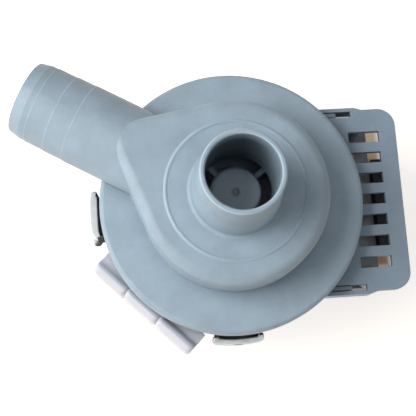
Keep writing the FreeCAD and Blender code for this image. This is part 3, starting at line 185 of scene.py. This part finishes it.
def from_axis(tree, place):
    """Distance from the pump's axis."""
    flat = node(tree, "VectorMath", {0: place, 1: (1, 1, 0)}, operation="MULTIPLY").outputs[0]
    return node(tree, "VectorMath", {0: flat}, operation="LENGTH").outputs["Value"]


def distance_from(tree, value, middle):
    """How far a value lies from a middle, on either side."""
    return maths(tree, "ABSOLUTE", maths(tree, "SUBTRACT", value, middle))


def seen_directly(tree):
    """1 for the camera, for reflections and through glass, 0 for light that falls on other things."""
    path = node(tree, "LightPath").outputs
    through = maths(tree, "MAXIMUM", path["Is Glossy Ray"], path["Is Transmission Ray"])
    return maths(tree, "MAXIMUM", path["Is Camera Ray"], through)


def raise_surface(tree, shader, height, distance, strength=1.0, normal=None):
    """Gives the shader its bumps."""
    inputs = {"Height": height, "Distance": distance, "Strength": strength}
    if normal:
        inputs["Normal"] = normal
    tree.links.new(node(tree, "Bump", inputs).outputs[0], shader.inputs["Normal"])


def shared_group(name, inputs, outputs):
    """Starts a node group with named inputs, given with their first values, and named outputs."""
    tree = bpy.data.node_groups.new(name, "ShaderNodeTree")
    for label, value in inputs.items():
        kind = "NodeSocketVector" if value is None else "NodeSocketFloat"
        socket = tree.interface.new_socket(label, in_out="INPUT", socket_type=kind)
        if value is not None:
            socket.default_value = value
    for label, kind in outputs.items():
        tree.interface.new_socket(label, in_out="OUTPUT", socket_type="NodeSocket" + kind)
    return tree, tree.nodes.new("NodeGroupInput").outputs, tree.nodes.new("NodeGroupOutput").inputs


def placed(tree, group, **inputs):
    """Places a shared group in a material and gives back its outputs."""
    made = tree.nodes.new("ShaderNodeGroup")
    made.node_tree = group
    feed(tree, made, inputs)
    return made.outputs


# ---------------------------------------------------------------- effects that several finishes share

def make_moulded_grain():
    """Spark-eroded grain of a mould, with the faint flow of the plastic under it."""
    tree, given, out = shared_group(
        "moulded grain", {"Place": None, "Grain": 1400.0, "Flow": 26.0},
        {"Height": "Float", "Mottle": "Float", "Flow": "Float"})
    fine = noise(tree, given["Place"], given["Grain"], detail=3, rough=0.62)
    pitted = node(tree, "TexVoronoi", {"Vector": given["Place"], "Scale": given["Grain"]}).outputs["Distance"]
    tree.links.new(times_add(tree, pitted, 0.35, fine), out["Height"])
    cloud = noise(tree, given["Place"], 85, detail=4, rough=0.6)
    tree.links.new(graded(tree, cloud, 0.32, 0.68), out["Mottle"])
    bent = node(tree, "TexNoise", {"Vector": given["Place"], "Scale": given["Flow"], "Detail": 3,
                                   "Roughness": 0.45, "Distortion": 1.2}).outputs[0]
    tree.links.new(graded(tree, bent, 0.35, 0.65), out["Flow"])
    return tree


def make_edge_wear():
    """Rounds each hard edge a little and marks where handling has polished it."""
    tree, given, out = shared_group(
        "edge wear", {"Place": None, "Radius": 0.0004, "Patches": 160.0},
        {"Worn": "Float", "Normal": "Vector"})
    soft = node(tree, "Bevel", {"Radius": given["Radius"]}, samples=6).outputs["Normal"]
    face = node(tree, "NewGeometry").outputs["Normal"]
    straight = node(tree, "VectorMath", {0: soft, 1: face}, operation="DOT_PRODUCT").outputs["Value"]
    edge = graded(tree, straight, 0.995, 0.86)
    patches = graded(tree, noise(tree, given["Place"], given["Patches"], detail=3, rough=0.6), 0.38, 0.62)
    tree.links.new(times(tree, edge, patches), out["Worn"])
    tree.links.new(soft, out["Normal"])
    return tree


def make_handling():
    """Fine crossed scratches, rubbed places and a little dust on what faces up."""
    tree, given, out = shared_group(
        "handling", {"Place": None, "Size": 1.0}, {"Scratch": "Float", "Rubbed": "Float", "Dust": "Float"})
    place = node(tree, "VectorMath", {0: given["Place"], 3: given["Size"]}, operation="SCALE").outputs[0]
    marks = []
    for turn in (0.5, 1.9):
        along = turned(tree, place, (60, 2600, 60), (0, 0.2, turn))
        marks.append(graded(tree, noise(tree, along, 1, detail=1, rough=0.4), 0.735, 0.78))
    rubbed = graded(tree, noise(tree, place, 42, detail=5, rough=0.62), 0.42, 0.70)
    tree.links.new(times(tree, maths(tree, "MAXIMUM", *marks), rubbed), out["Scratch"])
    tree.links.new(rubbed, out["Rubbed"])
    specks = graded(tree, noise(tree, place, 900, detail=4, rough=0.75), 0.56, 0.70)
    tree.links.new(times(tree, graded(tree, facing_up(tree), 0.55, 1.0), specks), out["Dust"])
    return tree


def make_crevice_grime_and_shade():
    """Dirt and painted shade in corners and narrow gaps: the less of the surroundings is open, the darker."""
    tree, given, out = shared_group("crevice grime and painted shade", {"Place": None, "Reach": 0.005}, {"GrimeAndShade": "Float"})
    free = node(tree, "AmbientOcclusion", {"Distance": given["Reach"]}, samples=6).outputs["AO"]
    uneven = graded(tree, noise(tree, given["Place"], 240, detail=3, rough=0.6), 0.3, 0.7, 0.75, 1.0)
    tree.links.new(times(tree, graded(tree, free, 0.85, 0.25), uneven), out["GrimeAndShade"])
    return tree


moulded_grain = make_moulded_grain()
edge_wear = make_edge_wear()
handling = make_handling()
crevice_grime_and_shade = make_crevice_grime_and_shade()


# ---------------------------------------------------------------- finishes

DUST = (0.72, 0.70, 0.66, 1)
# Near-black for grime and painted shade in the metal's corners.
METAL_GRIME_AND_SHADE = (0.02, 0.02, 0.021, 1)
# Near-black for painted shade on low flats.
PAINTED_FLAT_SHADE = (0.02, 0.02, 0.022, 1)
METAL_STAIN = (0.10, 0.09, 0.08, 1)
# Near-black for painted shade at the bracket's lug ends.
LUG_SHADE = (0.030, 0.026, 0.023, 1)


def started(name):
    """An empty material, with its tree, its place on the object and its shader."""
    material = bpy.data.materials.new(name)
    material.use_nodes = True
    tree = material.node_tree
    tree.nodes.clear()
    place = node(tree, "TexCoord").outputs["Object"]
    shader = node(tree, "BsdfPrincipled")
    end = node(tree, "OutputMaterial")
    tree.links.new(shader.outputs[0], end.inputs["Surface"])
    return material, tree, place, shader


def tinted(colour, by):
    """A colour made lighter or darker."""
    return tuple(min(part * by, 1.0) for part in colour) + (1.0,)


def inlet_painted_shade_and_highlights(tree, place, paint, colour):
    """Painted shade down the inlet's wall, darkest at its back; painted highlights on the edges of its mouth; a
    painted highlight on the ring, stronger on its left.
    """
    apart = parts_of(tree, place)
    away = from_axis(tree, place)
    inside = graded(tree, away, INLET_BORE + 0.0003, INLET_BORE + 0.0001)
    deep = graded(tree, apart["Z"], INLET_MOUTH - 0.0006, INLET_MOUTH - 0.0088)
    toward_shaded_side = times_add(tree, apart["X"], -0.75, times(tree, apart["Y"], 0.65))
    # Painted shade down the bore, darker with depth and towards its back.
    bore_shade = times(tree, deep, graded(tree, toward_shaded_side, -0.005, 0.007, 0.35, 0.92))
    paint = coat(tree, paint, inside, bore_shade, tinted(colour, 0.16))
    # Painted highlights on the mouth's two edges, faint on the rim between them.
    at_mouth = graded(tree, apart["Z"], INLET_MOUTH - 0.0008, INLET_MOUTH - RIM_CHAMFER)
    edge = graded(tree, distance_from(tree, away, RIM_MIDDLE), 0.00035, 0.00055, 0.12, 0.5)
    paint = coat(tree, paint, at_mouth, edge, tinted(colour, 1.6))
    # Painted highlight on the ring round the inlet, stronger on its left side.
    on_top = graded(tree, apart["Z"], VOLUTE_TOP - 0.0008, VOLUTE_TOP - 0.0002)
    ring = times(tree, graded(tree, distance_from(tree, away, RING_RADIUS), 0.0010, 0.0006), on_top)
    ring_highlight = blend(tree, graded(tree, apart["X"], -0.018, -0.004), tinted(colour, 1.22), tinted(colour, 1.05))
    return coat(tree, paint, ring, 0.95, ring_highlight)


def moulding(name, colour, gloss=0.46, uneven=0.10, worn=0.22, radius=0.0004, darkening=0.0, reach=0.005, gate_dimple_shade=0.0,
             own_painted_light=None):
    """Moulded plastic: grain, flow marks, polished edges that set strong become painted highlights, scratches, dust,
    grime with painted shade in corners, and painted shade of a dimple at the gate.
    """
    material, tree, place, shader = started(name)
    skin = placed(tree, moulded_grain, Place=place)
    edge = placed(tree, edge_wear, Place=place, Radius=radius)
    marks = placed(tree, handling, Place=place)
    paint = blend(tree, skin["Mottle"], tinted(colour, 1 - uneven), tinted(colour, 1 + uneven))
    paint = coat(tree, paint, skin["Flow"], 0.22, tinted(colour, 1.16))
    # Lighter worn edges; set strong, as on the volute, they are painted edge highlights more than wear.
    paint = coat(tree, paint, edge["Worn"], worn, tinted(colour, 1.55))
    paint = coat(tree, paint, marks["Scratch"], 0.22, tinted(colour, 1.45))
    paint = coat(tree, paint, marks["Dust"], 0.16, DUST)
    # Grime and painted shade darken corners and narrow gaps.
    if darkening:
        corners = placed(tree, crevice_grime_and_shade, Place=place, Reach=reach)
        paint = coat(tree, paint, corners["GrimeAndShade"], darkening, tinted(colour, 0.25))
    # Painted shade of a dimple at the gate, darkest at the axis.
    if gate_dimple_shade:
        dimple_shade = graded(tree, from_axis(tree, place), gate_dimple_shade, 0.4 * gate_dimple_shade, 0, 0.75)
        paint = blend(tree, dimple_shade, paint, tinted(colour, 0.4))
    # Painted shade and highlights of one part, where it has its own.
    if own_painted_light:
        paint = own_painted_light(tree, place, paint, colour)
    tree.links.new(paint, shader.inputs["Base Color"])
    dull = times_add(tree, marks["Rubbed"], -0.10, gloss + 0.05)
    dull = times_add(tree, marks["Dust"], 0.2, dull)
    tree.links.new(times_add(tree, edge["Worn"], -0.10, dull), shader.inputs["Roughness"])
    height = times_add(tree, marks["Scratch"], -0.5, skin["Height"])
    raise_surface(tree, shader, height, 0.00003, 0.8, edge["Normal"])
    return material


def lug_painted_shade(tree, place, paint):
    """Painted shade on the inturned ends of the bracket's lugs and under the back lug's lower end."""
    apart = parts_of(tree, place)
    inner = graded(tree, apart["X"], -0.040, -0.030, BACK_LUG_INNER, SIDE_LUG_INNER)
    short = maths(tree, "SUBTRACT", inner, from_axis(tree, place))
    hook = times(tree, graded(tree, short, 0.0, 0.0003), graded(tree, apart["Z"], LUG_FOOT, LUG_FOOT + 0.0010))
    beside = maths(tree, "MINIMUM", maths(tree, "ABSOLUTE", apart["X"]), maths(tree, "ABSOLUTE", apart["Y"]))
    hook = times(tree, hook, graded(tree, beside, LUG_HOOK, LUG_HOOK + 0.0004))
    under = times(tree, graded(tree, apart["Y"], -0.0094, -0.0100), graded(tree, apart["X"], -0.044, -0.046))
    lug_shade = times(tree, maths(tree, "MAXIMUM", hook, under), 0.92)
    return blend(tree, lug_shade, paint, LUG_SHADE), lug_shade


def metal(name, colour, roughness, along=(1, 1, 14), stained=0.25, radius=0.0003, painted_shade_below=0.0, own_painted_light=None):
    """Bare or plated metal: drawing lines, dull patches, bright edges, grime with painted shade in corners and,
    below a given level, painted shade on flats.
    """
    material, tree, place, shader = started(name)
    edge = placed(tree, edge_wear, Place=place, Radius=radius)
    marks = placed(tree, handling, Place=place, Size=1.6)
    lines = noise(tree, turned(tree, place, tuple(220 * part for part in along)), 1, detail=3, rough=0.6)
    patches = graded(tree, noise(tree, place, 130, detail=5, rough=0.65), 0.40, 0.66)
    paint = blend(tree, graded(tree, lines, 0.3, 0.7), tinted(colour, 0.90), tinted(colour, 1.08))
    paint = coat(tree, paint, patches, stained, METAL_STAIN)
    paint = coat(tree, paint, edge["Worn"], 0.5, tinted(colour, 1.3))
    # Grime and painted shade darken the metal's corners and gaps.
    corners = placed(tree, crevice_grime_and_shade, Place=place, Reach=0.004)
    paint = coat(tree, paint, corners["GrimeAndShade"], 0.92, METAL_GRIME_AND_SHADE)
    # Painted shade on upward-facing flats below the given level.
    if painted_shade_below:
        low = graded(tree, parts_of(tree, place)["Z"], painted_shade_below, painted_shade_below - 0.0015)
        flat_shade = times(tree, low, graded(tree, facing_up(tree), 0.3, 0.8))
        paint = coat(tree, paint, flat_shade, 0.9, PAINTED_FLAT_SHADE)
    shader.inputs["Metallic"].default_value = 1.0
    dull = times_add(tree, patches, 0.16, roughness)
    # Painted shade at the lug ends: there the metal is dark, not metallic, and rougher.
    if own_painted_light:
        paint, lug_shade = own_painted_light(tree, place, paint)
        tree.links.new(maths(tree, "SUBTRACT", 1.0, lug_shade), shader.inputs["Metallic"])
        dull = times_add(tree, lug_shade, 0.55, dull)
    tree.links.new(paint, shader.inputs["Base Color"])
    tree.links.new(times_add(tree, lines, 0.10, dull), shader.inputs["Roughness"])
    height = times_add(tree, marks["Scratch"], -0.6, lines)
    raise_surface(tree, shader, height, 0.00001, 0.7, edge["Normal"])
    return material


def laminated_steel():
    """The core's edge: thin varnished sheets, each a little different in tone."""
    material, tree, place, shader = started("varnished laminations")
    edge = placed(tree, edge_wear, Place=place, Radius=0.0002)
    sheet = maths(tree, "DIVIDE", parts_of(tree, place)["Z"], SHEET_THICKNESS)
    gap = graded(tree, distance_from(tree, maths(tree, "FRACT", sheet), 0.5), 0.34, 0.5)
    gap = times(tree, gap, graded(tree, maths(tree, "ABSOLUTE", facing_up(tree)), 0.8, 0.5))
    own = node(tree, "TexWhiteNoise", {"W": maths(tree, "FLOOR", sheet)}, noise_dimensions="1D").outputs["Value"]
    darkening = graded(tree, noise(tree, place, 170, detail=5, rough=0.7), 0.4, 0.7)
    paint = blend(tree, own, (0.20, 0.205, 0.22, 1), (0.32, 0.33, 0.35, 1))
    paint = blend(tree, gap, paint, (0.018, 0.018, 0.02, 1))
    paint = coat(tree, paint, darkening, 0.4, (0.10, 0.058, 0.03, 1))
    tree.links.new(paint, shader.inputs["Base Color"])
    shader.inputs["Metallic"].default_value = 0.55
    tree.links.new(graded(tree, darkening, 0, 1, 0.40, 0.66), shader.inputs["Roughness"])
    height = maths(tree, "SUBTRACT", own, times(tree, gap, 2.0))
    raise_surface(tree, shader, height, 0.00006, normal=edge["Normal"])
    return material


def rubber(name, colour, roughness=0.62):
    """Rubber or soft insulation: matt, with a bloom and a fine skin."""
    material, tree, place, shader = started(name)
    skin = placed(tree, moulded_grain, Place=place, Grain=2200)
    marks = placed(tree, handling, Place=place)
    bloomed = tuple(0.75 * part + 0.06 for part in colour) + (1,)
    paint = blend(tree, times(tree, skin["Flow"], 0.25), tinted(colour, 0.9), bloomed)
    paint = coat(tree, paint, marks["Dust"], 0.3, (0.45, 0.43, 0.4, 1))
    tree.links.new(paint, shader.inputs["Base Color"])
    tree.links.new(graded(tree, skin["Mottle"], 0, 1, roughness - 0.07, roughness + 0.09),
                   shader.inputs["Roughness"])
    raise_surface(tree, shader, skin["Height"], 0.00002, 0.7)
    return material


def winding_tape():
    """Yellow polyester tape with the wire's turns pressing through it."""
    material, tree, place, shader = started("coil tape")
    wobble = times_add(tree, noise(tree, place, 90), 0.0016, parts_of(tree, place)["X"])
    turn = maths(tree, "FRACT", maths(tree, "DIVIDE", wobble, TAPE_PITCH))
    wires = maths(tree, "SINE", times(tree, wobble, 2 * math.pi / WIRE_PITCH))
    worn = graded(tree, noise(tree, place, 210, detail=4, rough=0.6), 0.36, 0.66)
    paint = blend(tree, worn, (0.52, 0.36, 0.07, 1), (0.68, 0.50, 0.14, 1))
    paint = coat(tree, paint, graded(tree, turn, 0.90, 1.0), 0.6, (0.34, 0.22, 0.04, 1))
    tree.links.new(paint, shader.inputs["Base Color"])
    tree.links.new(graded(tree, worn, 0, 1, 0.24, 0.42), shader.inputs["Roughness"])
    raise_surface(tree, shader, times_add(tree, turn, 2.0, times(tree, wires, 0.22)), 0.00009)
    return material


def floor_finish():
    """Pale table, near white to the camera; round the pump's base and under the motor's end the glow gives way to
    painted shade, and under the motor's end its wood tone shows, painted darker towards -Y.
    """
    material, tree, place, shader = started("pale table")
    apart = parts_of(tree, place)
    past_side = maths(tree, "POWER", graded(tree, distance_from(tree, apart["X"], 0.055), 0.0168, 0.0209), 2)
    past_end = maths(tree, "MAXIMUM", past_side,
                     graded(tree, distance_from(tree, apart["Y"], 0.0107), 0.0303, 0.0383))
    from_base = node(tree, "VectorMath", {0: place, 1: (0.0049, 0.0107, 0)}, operation="DISTANCE").outputs["Value"]
    # Painted shade round the pump's base and under the motor's end: there the camera-only glow is withdrawn.
    clear = maths(tree, "MINIMUM", past_end, graded(tree, from_base, 0.044, 0.0565))
    cloud = noise(tree, place, 14, detail=4, rough=0.6)
    pale = blend(tree, cloud, (0.80, 0.715, 0.64, 1), (0.84, 0.76, 0.69, 1))
    # The wood is painted darker towards -Y, as shade under the motor's end.
    wood_with_painted_shade = blend(tree, graded(tree, apart["Y"], -0.02, 0.04), (0.93, 0.60, 0.38, 1), (0.98, 0.80, 0.55, 1))
    tree.links.new(blend(tree, past_end, wood_with_painted_shade, pale), shader.inputs["Base Color"])
    shader.inputs["Roughness"].default_value = 0.85
    shader.inputs["Specular IOR Level"].default_value = 0.1
    shader.inputs["Emission Color"].default_value = (1, 0.985, 0.975, 1)
    tree.links.new(times(tree, seen_directly(tree), times(tree, clear, 0.72)), shader.inputs["Emission Strength"])
    return material


def set_surroundings():
    """White to the camera and in reflections; otherwise a soft, cool light from all round."""
    world = bpy.data.worlds.new("studio")
    world.use_nodes = True
    tree = world.node_tree
    tree.nodes.clear()
    white = node(tree, "Background", {"Color": (1, 1, 1, 1), "Strength": 1.0})
    soft = node(tree, "Background", {"Color": (0.93, 0.97, 1.0, 1), "Strength": 0.13})
    both = node(tree, "MixShader", {0: seen_directly(tree), 1: soft.outputs[0], 2: white.outputs[0]})
    node(tree, "OutputWorld", {"Surface": both.outputs[0]})
    bpy.context.scene.world = world


def lay_floor():
    """A wide table top just under the pump's flat back."""
    sheet = bmesh.new()
    bmesh.ops.create_grid(sheet, x_segments=1, y_segments=1, size=3.0)
    bmesh.ops.translate(sheet, vec=(0, 0, -0.0003), verts=sheet.verts)
    mesh = bpy.data.meshes.new("table_top")
    sheet.to_mesh(mesh)
    sheet.free()
    mesh.materials.append(floor_finish())
    floor = bpy.data.objects.new("table_top", mesh)
    bpy.context.scene.collection.objects.link(floor)


def dress(finish, *names):
    """Gives CAD nodes their finish."""
    for name in names:
        mesh = nodes[name].data
        if not mesh.materials:
            mesh.materials.append(finish)
        for place in range(len(mesh.materials)):
            mesh.materials[place] = finish


def finished_piece(form, name, finish, sharp_from):
    """Turns a form into an object with its finish; edges are sharp from the given angle in degrees."""
    mesh = bpy.data.meshes.new(name)
    form.to_mesh(mesh)
    form.free()
    mesh.polygons.foreach_set("use_smooth", [True] * len(mesh.polygons))
    mesh.set_sharp_from_angle(angle=math.radians(sharp_from))
    mesh.polygons.foreach_set("material_index", [0] * len(mesh.polygons))
    mesh.materials.append(finish)
    piece = bpy.data.objects.new(name, mesh)
    bpy.context.scene.collection.objects.link(piece)
    return piece


# ---------------------------------------------------------------- terminal block

# Drawn with its length along Y and its outer wall towards +X, then turned round the pump's axis to its place.
BLOCK_TURN = math.radians(225)
LOBE_ENDS = (-0.0242, -0.0084, 0.0080, 0.0257)
LOBE_ROUND = 0.0018
CUTS_BESIDE_END = (0, 0.0002, 0.0005, 0.0010, LOBE_ROUND)
BLOCK_FOOT = 0.0330
BLOCK_INNER = 0.0440
WALL_OUT = 0.0543
CREST_UP = 0.0499
VALLEY_OUT = 0.0491
VALLEY_UP = 0.0475
SHELF_ABOVE = 0.0460
SHELF_INSIDE = 0.0495
LOW_SHELF_START = 0.0095
LOW_SHELF_DROP = 0.0016
BAY_MIDDLES = (-0.0162, 0.0, 0.0170)
BAY_HALF = 0.0055
BAY_INNER, BAY_OUTER = 0.0476, 0.0526
BAY_DEPTH = 0.011
SLOT_HALF = 0.0093
SLOT_LOW, SLOT_HIGH = 0.0359, 0.0377
SLOT_DEPTH = 0.003
EDGE_ROUND = 0.0003
HARD_EDGE = math.radians(40)
BLOCK_SECTION = (
    (BLOCK_INNER, BLOCK_FOOT), (BAY_INNER, BLOCK_FOOT), (BAY_OUTER, BLOCK_FOOT), (WALL_OUT, BLOCK_FOOT),
    (WALL_OUT, 0.0466), (0.0541, 0.0477), (0.0536, 0.0487), (0.0529, 0.0495), (0.0521, CREST_UP),
    (0.0513, 0.0498), (0.0506, 0.0493), (0.0500, 0.0484), (VALLEY_OUT, VALLEY_UP), (0.0476, 0.0470),
    (BLOCK_INNER, 0.0468), (BLOCK_INNER, SLOT_HIGH), (BLOCK_INNER, SLOT_LOW))
HAIR = 0.00001


def drawn_in(along):
    """How far the block's outer wall lies back at this place, because each lobe has round ends."""
    gap = min(abs(along - end) for end in LOBE_ENDS)
    return LOBE_ROUND - math.sqrt(LOBE_ROUND ** 2 - max(LOBE_ROUND - gap, 0) ** 2)


def corners_in(geometry):
    """The vertices among what a bmesh operator gives back."""
    return [part for part in geometry if isinstance(part, bmesh.types.BMVert)]


def over_bay(face):
    """Whether a face lies on the block's underside, over one of the bays."""
    middle = face.calc_center_median()
    return (middle.z < BLOCK_FOOT + HAIR and BAY_INNER < middle.x < BAY_OUTER
            and min(abs(middle.y - bay) for bay in BAY_MIDDLES) < BAY_HALF)


def over_slot(face):
    """Whether a face lies on the block's inner wall, over the slot for the bracket's tongue."""
    middle = face.calc_center_median()
    return middle.x < BLOCK_INNER + HAIR and SLOT_LOW < middle.z < SLOT_HIGH and abs(middle.y) < SLOT_HALF


def in_order(form):
    """The same form, its corners and faces sorted by place: the tools leave them in a new order on each run."""
    corners = sorted((corner for corner in form.verts if corner.link_faces),
                     key=lambda corner: tuple(round(part, 7) for part in corner.co))
    rank = {corner: at for at, corner in enumerate(corners)}
    rings = []
    for face in form.faces:
        ring = [rank[corner] for corner in face.verts]
        first = ring.index(min(ring))
        rings.append(ring[first:] + ring[:first])
    ordered = bmesh.new()
    made = [ordered.verts.new(corner.co) for corner in corners]
    for ring in sorted(rings):
        ordered.faces.new([made[at] for at in ring])
    form.free()
    return ordered


def shape_lobes(form):
    """Rounds the lobes' ends and lowers the third lobe's inner part."""
    for corner in form.verts:
        out, along, up = corner.co
        back = drawn_in(along)
        if out > VALLEY_OUT:
            corner.co.x = VALLEY_OUT + (out - VALLEY_OUT) * (1 - back / (WALL_OUT - VALLEY_OUT))
        if up > VALLEY_UP + 1e-6:
            corner.co.z = VALLEY_UP + (up - VALLEY_UP) * (1 - 0.7 * back / (CREST_UP - VALLEY_UP))
        elif up > SHELF_ABOVE and out < SHELF_INSIDE and along > LOW_SHELF_START:
            corner.co.z -= LOW_SHELF_DROP


def block_blank():
    """The block before it is worked: its section drawn out along Y, with a ring of corners at each cut."""
    cuts = [end + side * step for end in LOBE_ENDS for side in (-1, 1) for step in CUTS_BESIDE_END]
    cuts += [middle + side * BAY_HALF for middle in BAY_MIDDLES for side in (-1, 1)] + [-SLOT_HALF, SLOT_HALF]
    within = {round(cut, 6) for cut in cuts if LOBE_ENDS[0] < cut < LOBE_ENDS[-1]}
    form = bmesh.new()
    rings = [[form.verts.new((out, along, up)) for out, up in BLOCK_SECTION]
             for along in sorted(within | {LOBE_ENDS[0], LOBE_ENDS[-1]})]
    for near, far in zip(rings, rings[1:]):
        for at in range(len(BLOCK_SECTION)):
            form.faces.new((near[at - 1], near[at], far[at], far[at - 1]))
    form.faces.new(rings[0][::-1])
    form.faces.new(rings[-1])
    return form


def block_with_three_lobes(finish):
    """The white block: one moulding with three round-ended lobes, a bay under each and a slot for the bracket."""
    form = block_blank()
    bays = [face for face in form.faces if over_bay(face)]
    slot = [face for face in form.faces if over_slot(face)]
    shape_lobes(form)
    for faces, reach in ((bays, (0, 0, BAY_DEPTH)), (slot, (SLOT_DEPTH, 0, 0))):
        sunk = bmesh.ops.extrude_face_region(form, geom=faces)
        bmesh.ops.translate(form, vec=reach, verts=corners_in(sunk["geom"]))
        bmesh.ops.delete(form, geom=[face for face in faces if face.is_valid], context="FACES")
    form = in_order(form)
    bmesh.ops.recalc_face_normals(form, faces=form.faces)
    hard = [edge for edge in form.edges if edge.calc_face_angle() > HARD_EDGE]
    bmesh.ops.bevel(form, geom=hard, offset=EDGE_ROUND, offset_type="OFFSET", segments=2, profile=0.5,
                    affect="EDGES", clamp_overlap=True, material=-1)
    form = in_order(form)
    bmesh.ops.dissolve_degenerate(form, dist=2e-6, edges=form.edges)
    bmesh.ops.rotate(form, cent=(0, 0, 0), matrix=Matrix.Rotation(BLOCK_TURN, 3, "Z"), verts=form.verts)
    block = finished_piece(form, "lobed_block", finish, 32)
    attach(block, "pump")
    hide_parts("terminal_block")


# ---------------------------------------------------------------- bracket

BACK_LUG_ENDS_AT = -0.045
LUG_FULLER = 0.0013
TIP_DRAWN_IN = 0.0017
TIP_SHARE = 0.5
UPPER_HOOK_LEFT = 0.3


def bracket_with_full_lug(finish):
    """The bracket; at the top of its back lug the middle is fuller, the lower end drawn in, the upper hook short."""
    form = bmesh.new()
    form.from_mesh(nodes["mounting_bracket"].data)
    bmesh.ops.remove_doubles(form, verts=form.verts, dist=1e-6)
    for corner in form.verts:
        x, y, z = corner.co
        if x > BACK_LUG_ENDS_AT or z < LUG_FOOT:
            continue
        away = math.hypot(x, y)
        turn = math.atan2(y, -x) / LUG_HALF_ANGLE
        bulge = math.sqrt(math.cos(turn * math.pi / 2)) if abs(turn) < 1 else 0.0
        inward = min(max((BACK_LUG_INNER + LUG_SHEET - away) / LUG_SHEET, 0), 1)
        tip = min(max(-turn - TIP_SHARE, 0) / TIP_SHARE, 1)
        lean = (z - LUG_FOOT) / LUG_HEIGHT
        moved = away - (LUG_FULLER * inward * bulge + TIP_DRAWN_IN * tip ** 2) * lean
        if y > 0 and away < BACK_LUG_INNER - 0.0001:
            moved = BACK_LUG_INNER - UPPER_HOOK_LEFT * (BACK_LUG_INNER - away)
        corner.co.x *= moved / away
        corner.co.y *= moved / away
    bmesh.ops.recalc_face_normals(form, faces=form.faces)
    bracket = finished_piece(form, "full_lug_bracket", finish, 12)
    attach(bracket, "pump")
    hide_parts("mounting_bracket")


# ---------------------------------------------------------------- the scene

bpy.context.scene.view_settings.view_transform = "Standard"
set_camera()
set_surroundings()
lay_floor()
for lamp in LAMPS:
    softbox(*lamp)

# On the volute the strong edge lightening is painted edge highlight, the darkening is painted shade in corners and
# grooves, and the inlet gets its own painted shade and highlights.
dress(moulding("volute grey", (0.365, 0.47, 0.56), worn=0.9, radius=0.00025, darkening=0.5, reach=0.010,
               own_painted_light=inlet_painted_shade_and_highlights), "volute_cover")
# On the housing the darkening is painted shade in corners and gaps, with some grime.
dress(moulding("housing grey", (0.29, 0.38, 0.475), darkening=0.85, reach=0.012), "motor_housing")
dress(moulding("rear grey", (0.25, 0.30, 0.345), gloss=0.55, uneven=0.06), "rear_cover")
dress(moulding("impeller grey", (0.31, 0.375, 0.44), gloss=0.40, gate_dimple_shade=0.0024), "impeller", "hub_cover",
      "drive_dog")
dress(moulding("retainer grey", (0.17, 0.20, 0.23)), "bearing_retainer")
dress(moulding("carrier nylon", (0.55, 0.55, 0.50), gloss=0.42), "magnet_carrier")
dress(moulding("bobbin nylon", (0.62, 0.63, 0.60), gloss=0.40), "left_bobbin", "right_bobbin")
dress(moulding("black nylon", (0.006, 0.006, 0.007), gloss=0.7, uneven=0.2, worn=0.1), "coil_end_cover")
dress(metal("screw steel", (0.60, 0.60, 0.58), 0.28), "front_screws", "yoke_screws")
dress(metal("ground steel", (0.68, 0.68, 0.69), 0.16, along=(1, 1, 22)), "rotor_shaft")
dress(metal("washer steel", (0.64, 0.64, 0.65), 0.2), "thrust_washers")
dress(metal("tinned brass", (0.70, 0.63, 0.42), 0.22), "line_terminal", "neutral_terminal", "earth_terminal")
dress(metal("sintered bronze", (0.22, 0.17, 0.12), 0.42, along=(4, 4, 4)), "front_bearing", "rear_bearing")
dress(metal("ferrite", (0.075, 0.075, 0.08), 0.45, along=(6, 6, 6)), "rotor_magnet")
dress(laminated_steel(), "stator_core")
dress(winding_tape(), "left_winding", "right_winding")
dress(rubber("seal rubber", (0.018, 0.018, 0.02)), "cover_seal", "front_bearing_seat", "rear_bearing_seat")
dress(rubber("blue insulation", (0.03, 0.10, 0.34), 0.45), "neutral_lead")
dress(rubber("brown insulation", (0.11, 0.045, 0.02), 0.45), "line_lead")
dress(rubber("green insulation", (0.12, 0.30, 0.03), 0.45), "earth_lead")

# On the block the darkening is painted shade in its recesses, with some grime.
block_with_three_lobes(moulding("white nylon", (0.72, 0.74, 0.82), gloss=0.30, uneven=0.04, worn=0.4, darkening=0.26))
# On the bracket, painted shade on its low flats and at the lug ends.
bracket_with_full_lug(metal("zinc plate", (0.46, 0.48, 0.49), 0.26, stained=0.12, radius=0.0008,
                            painted_shade_below=0.0445, own_painted_light=lug_painted_shade))
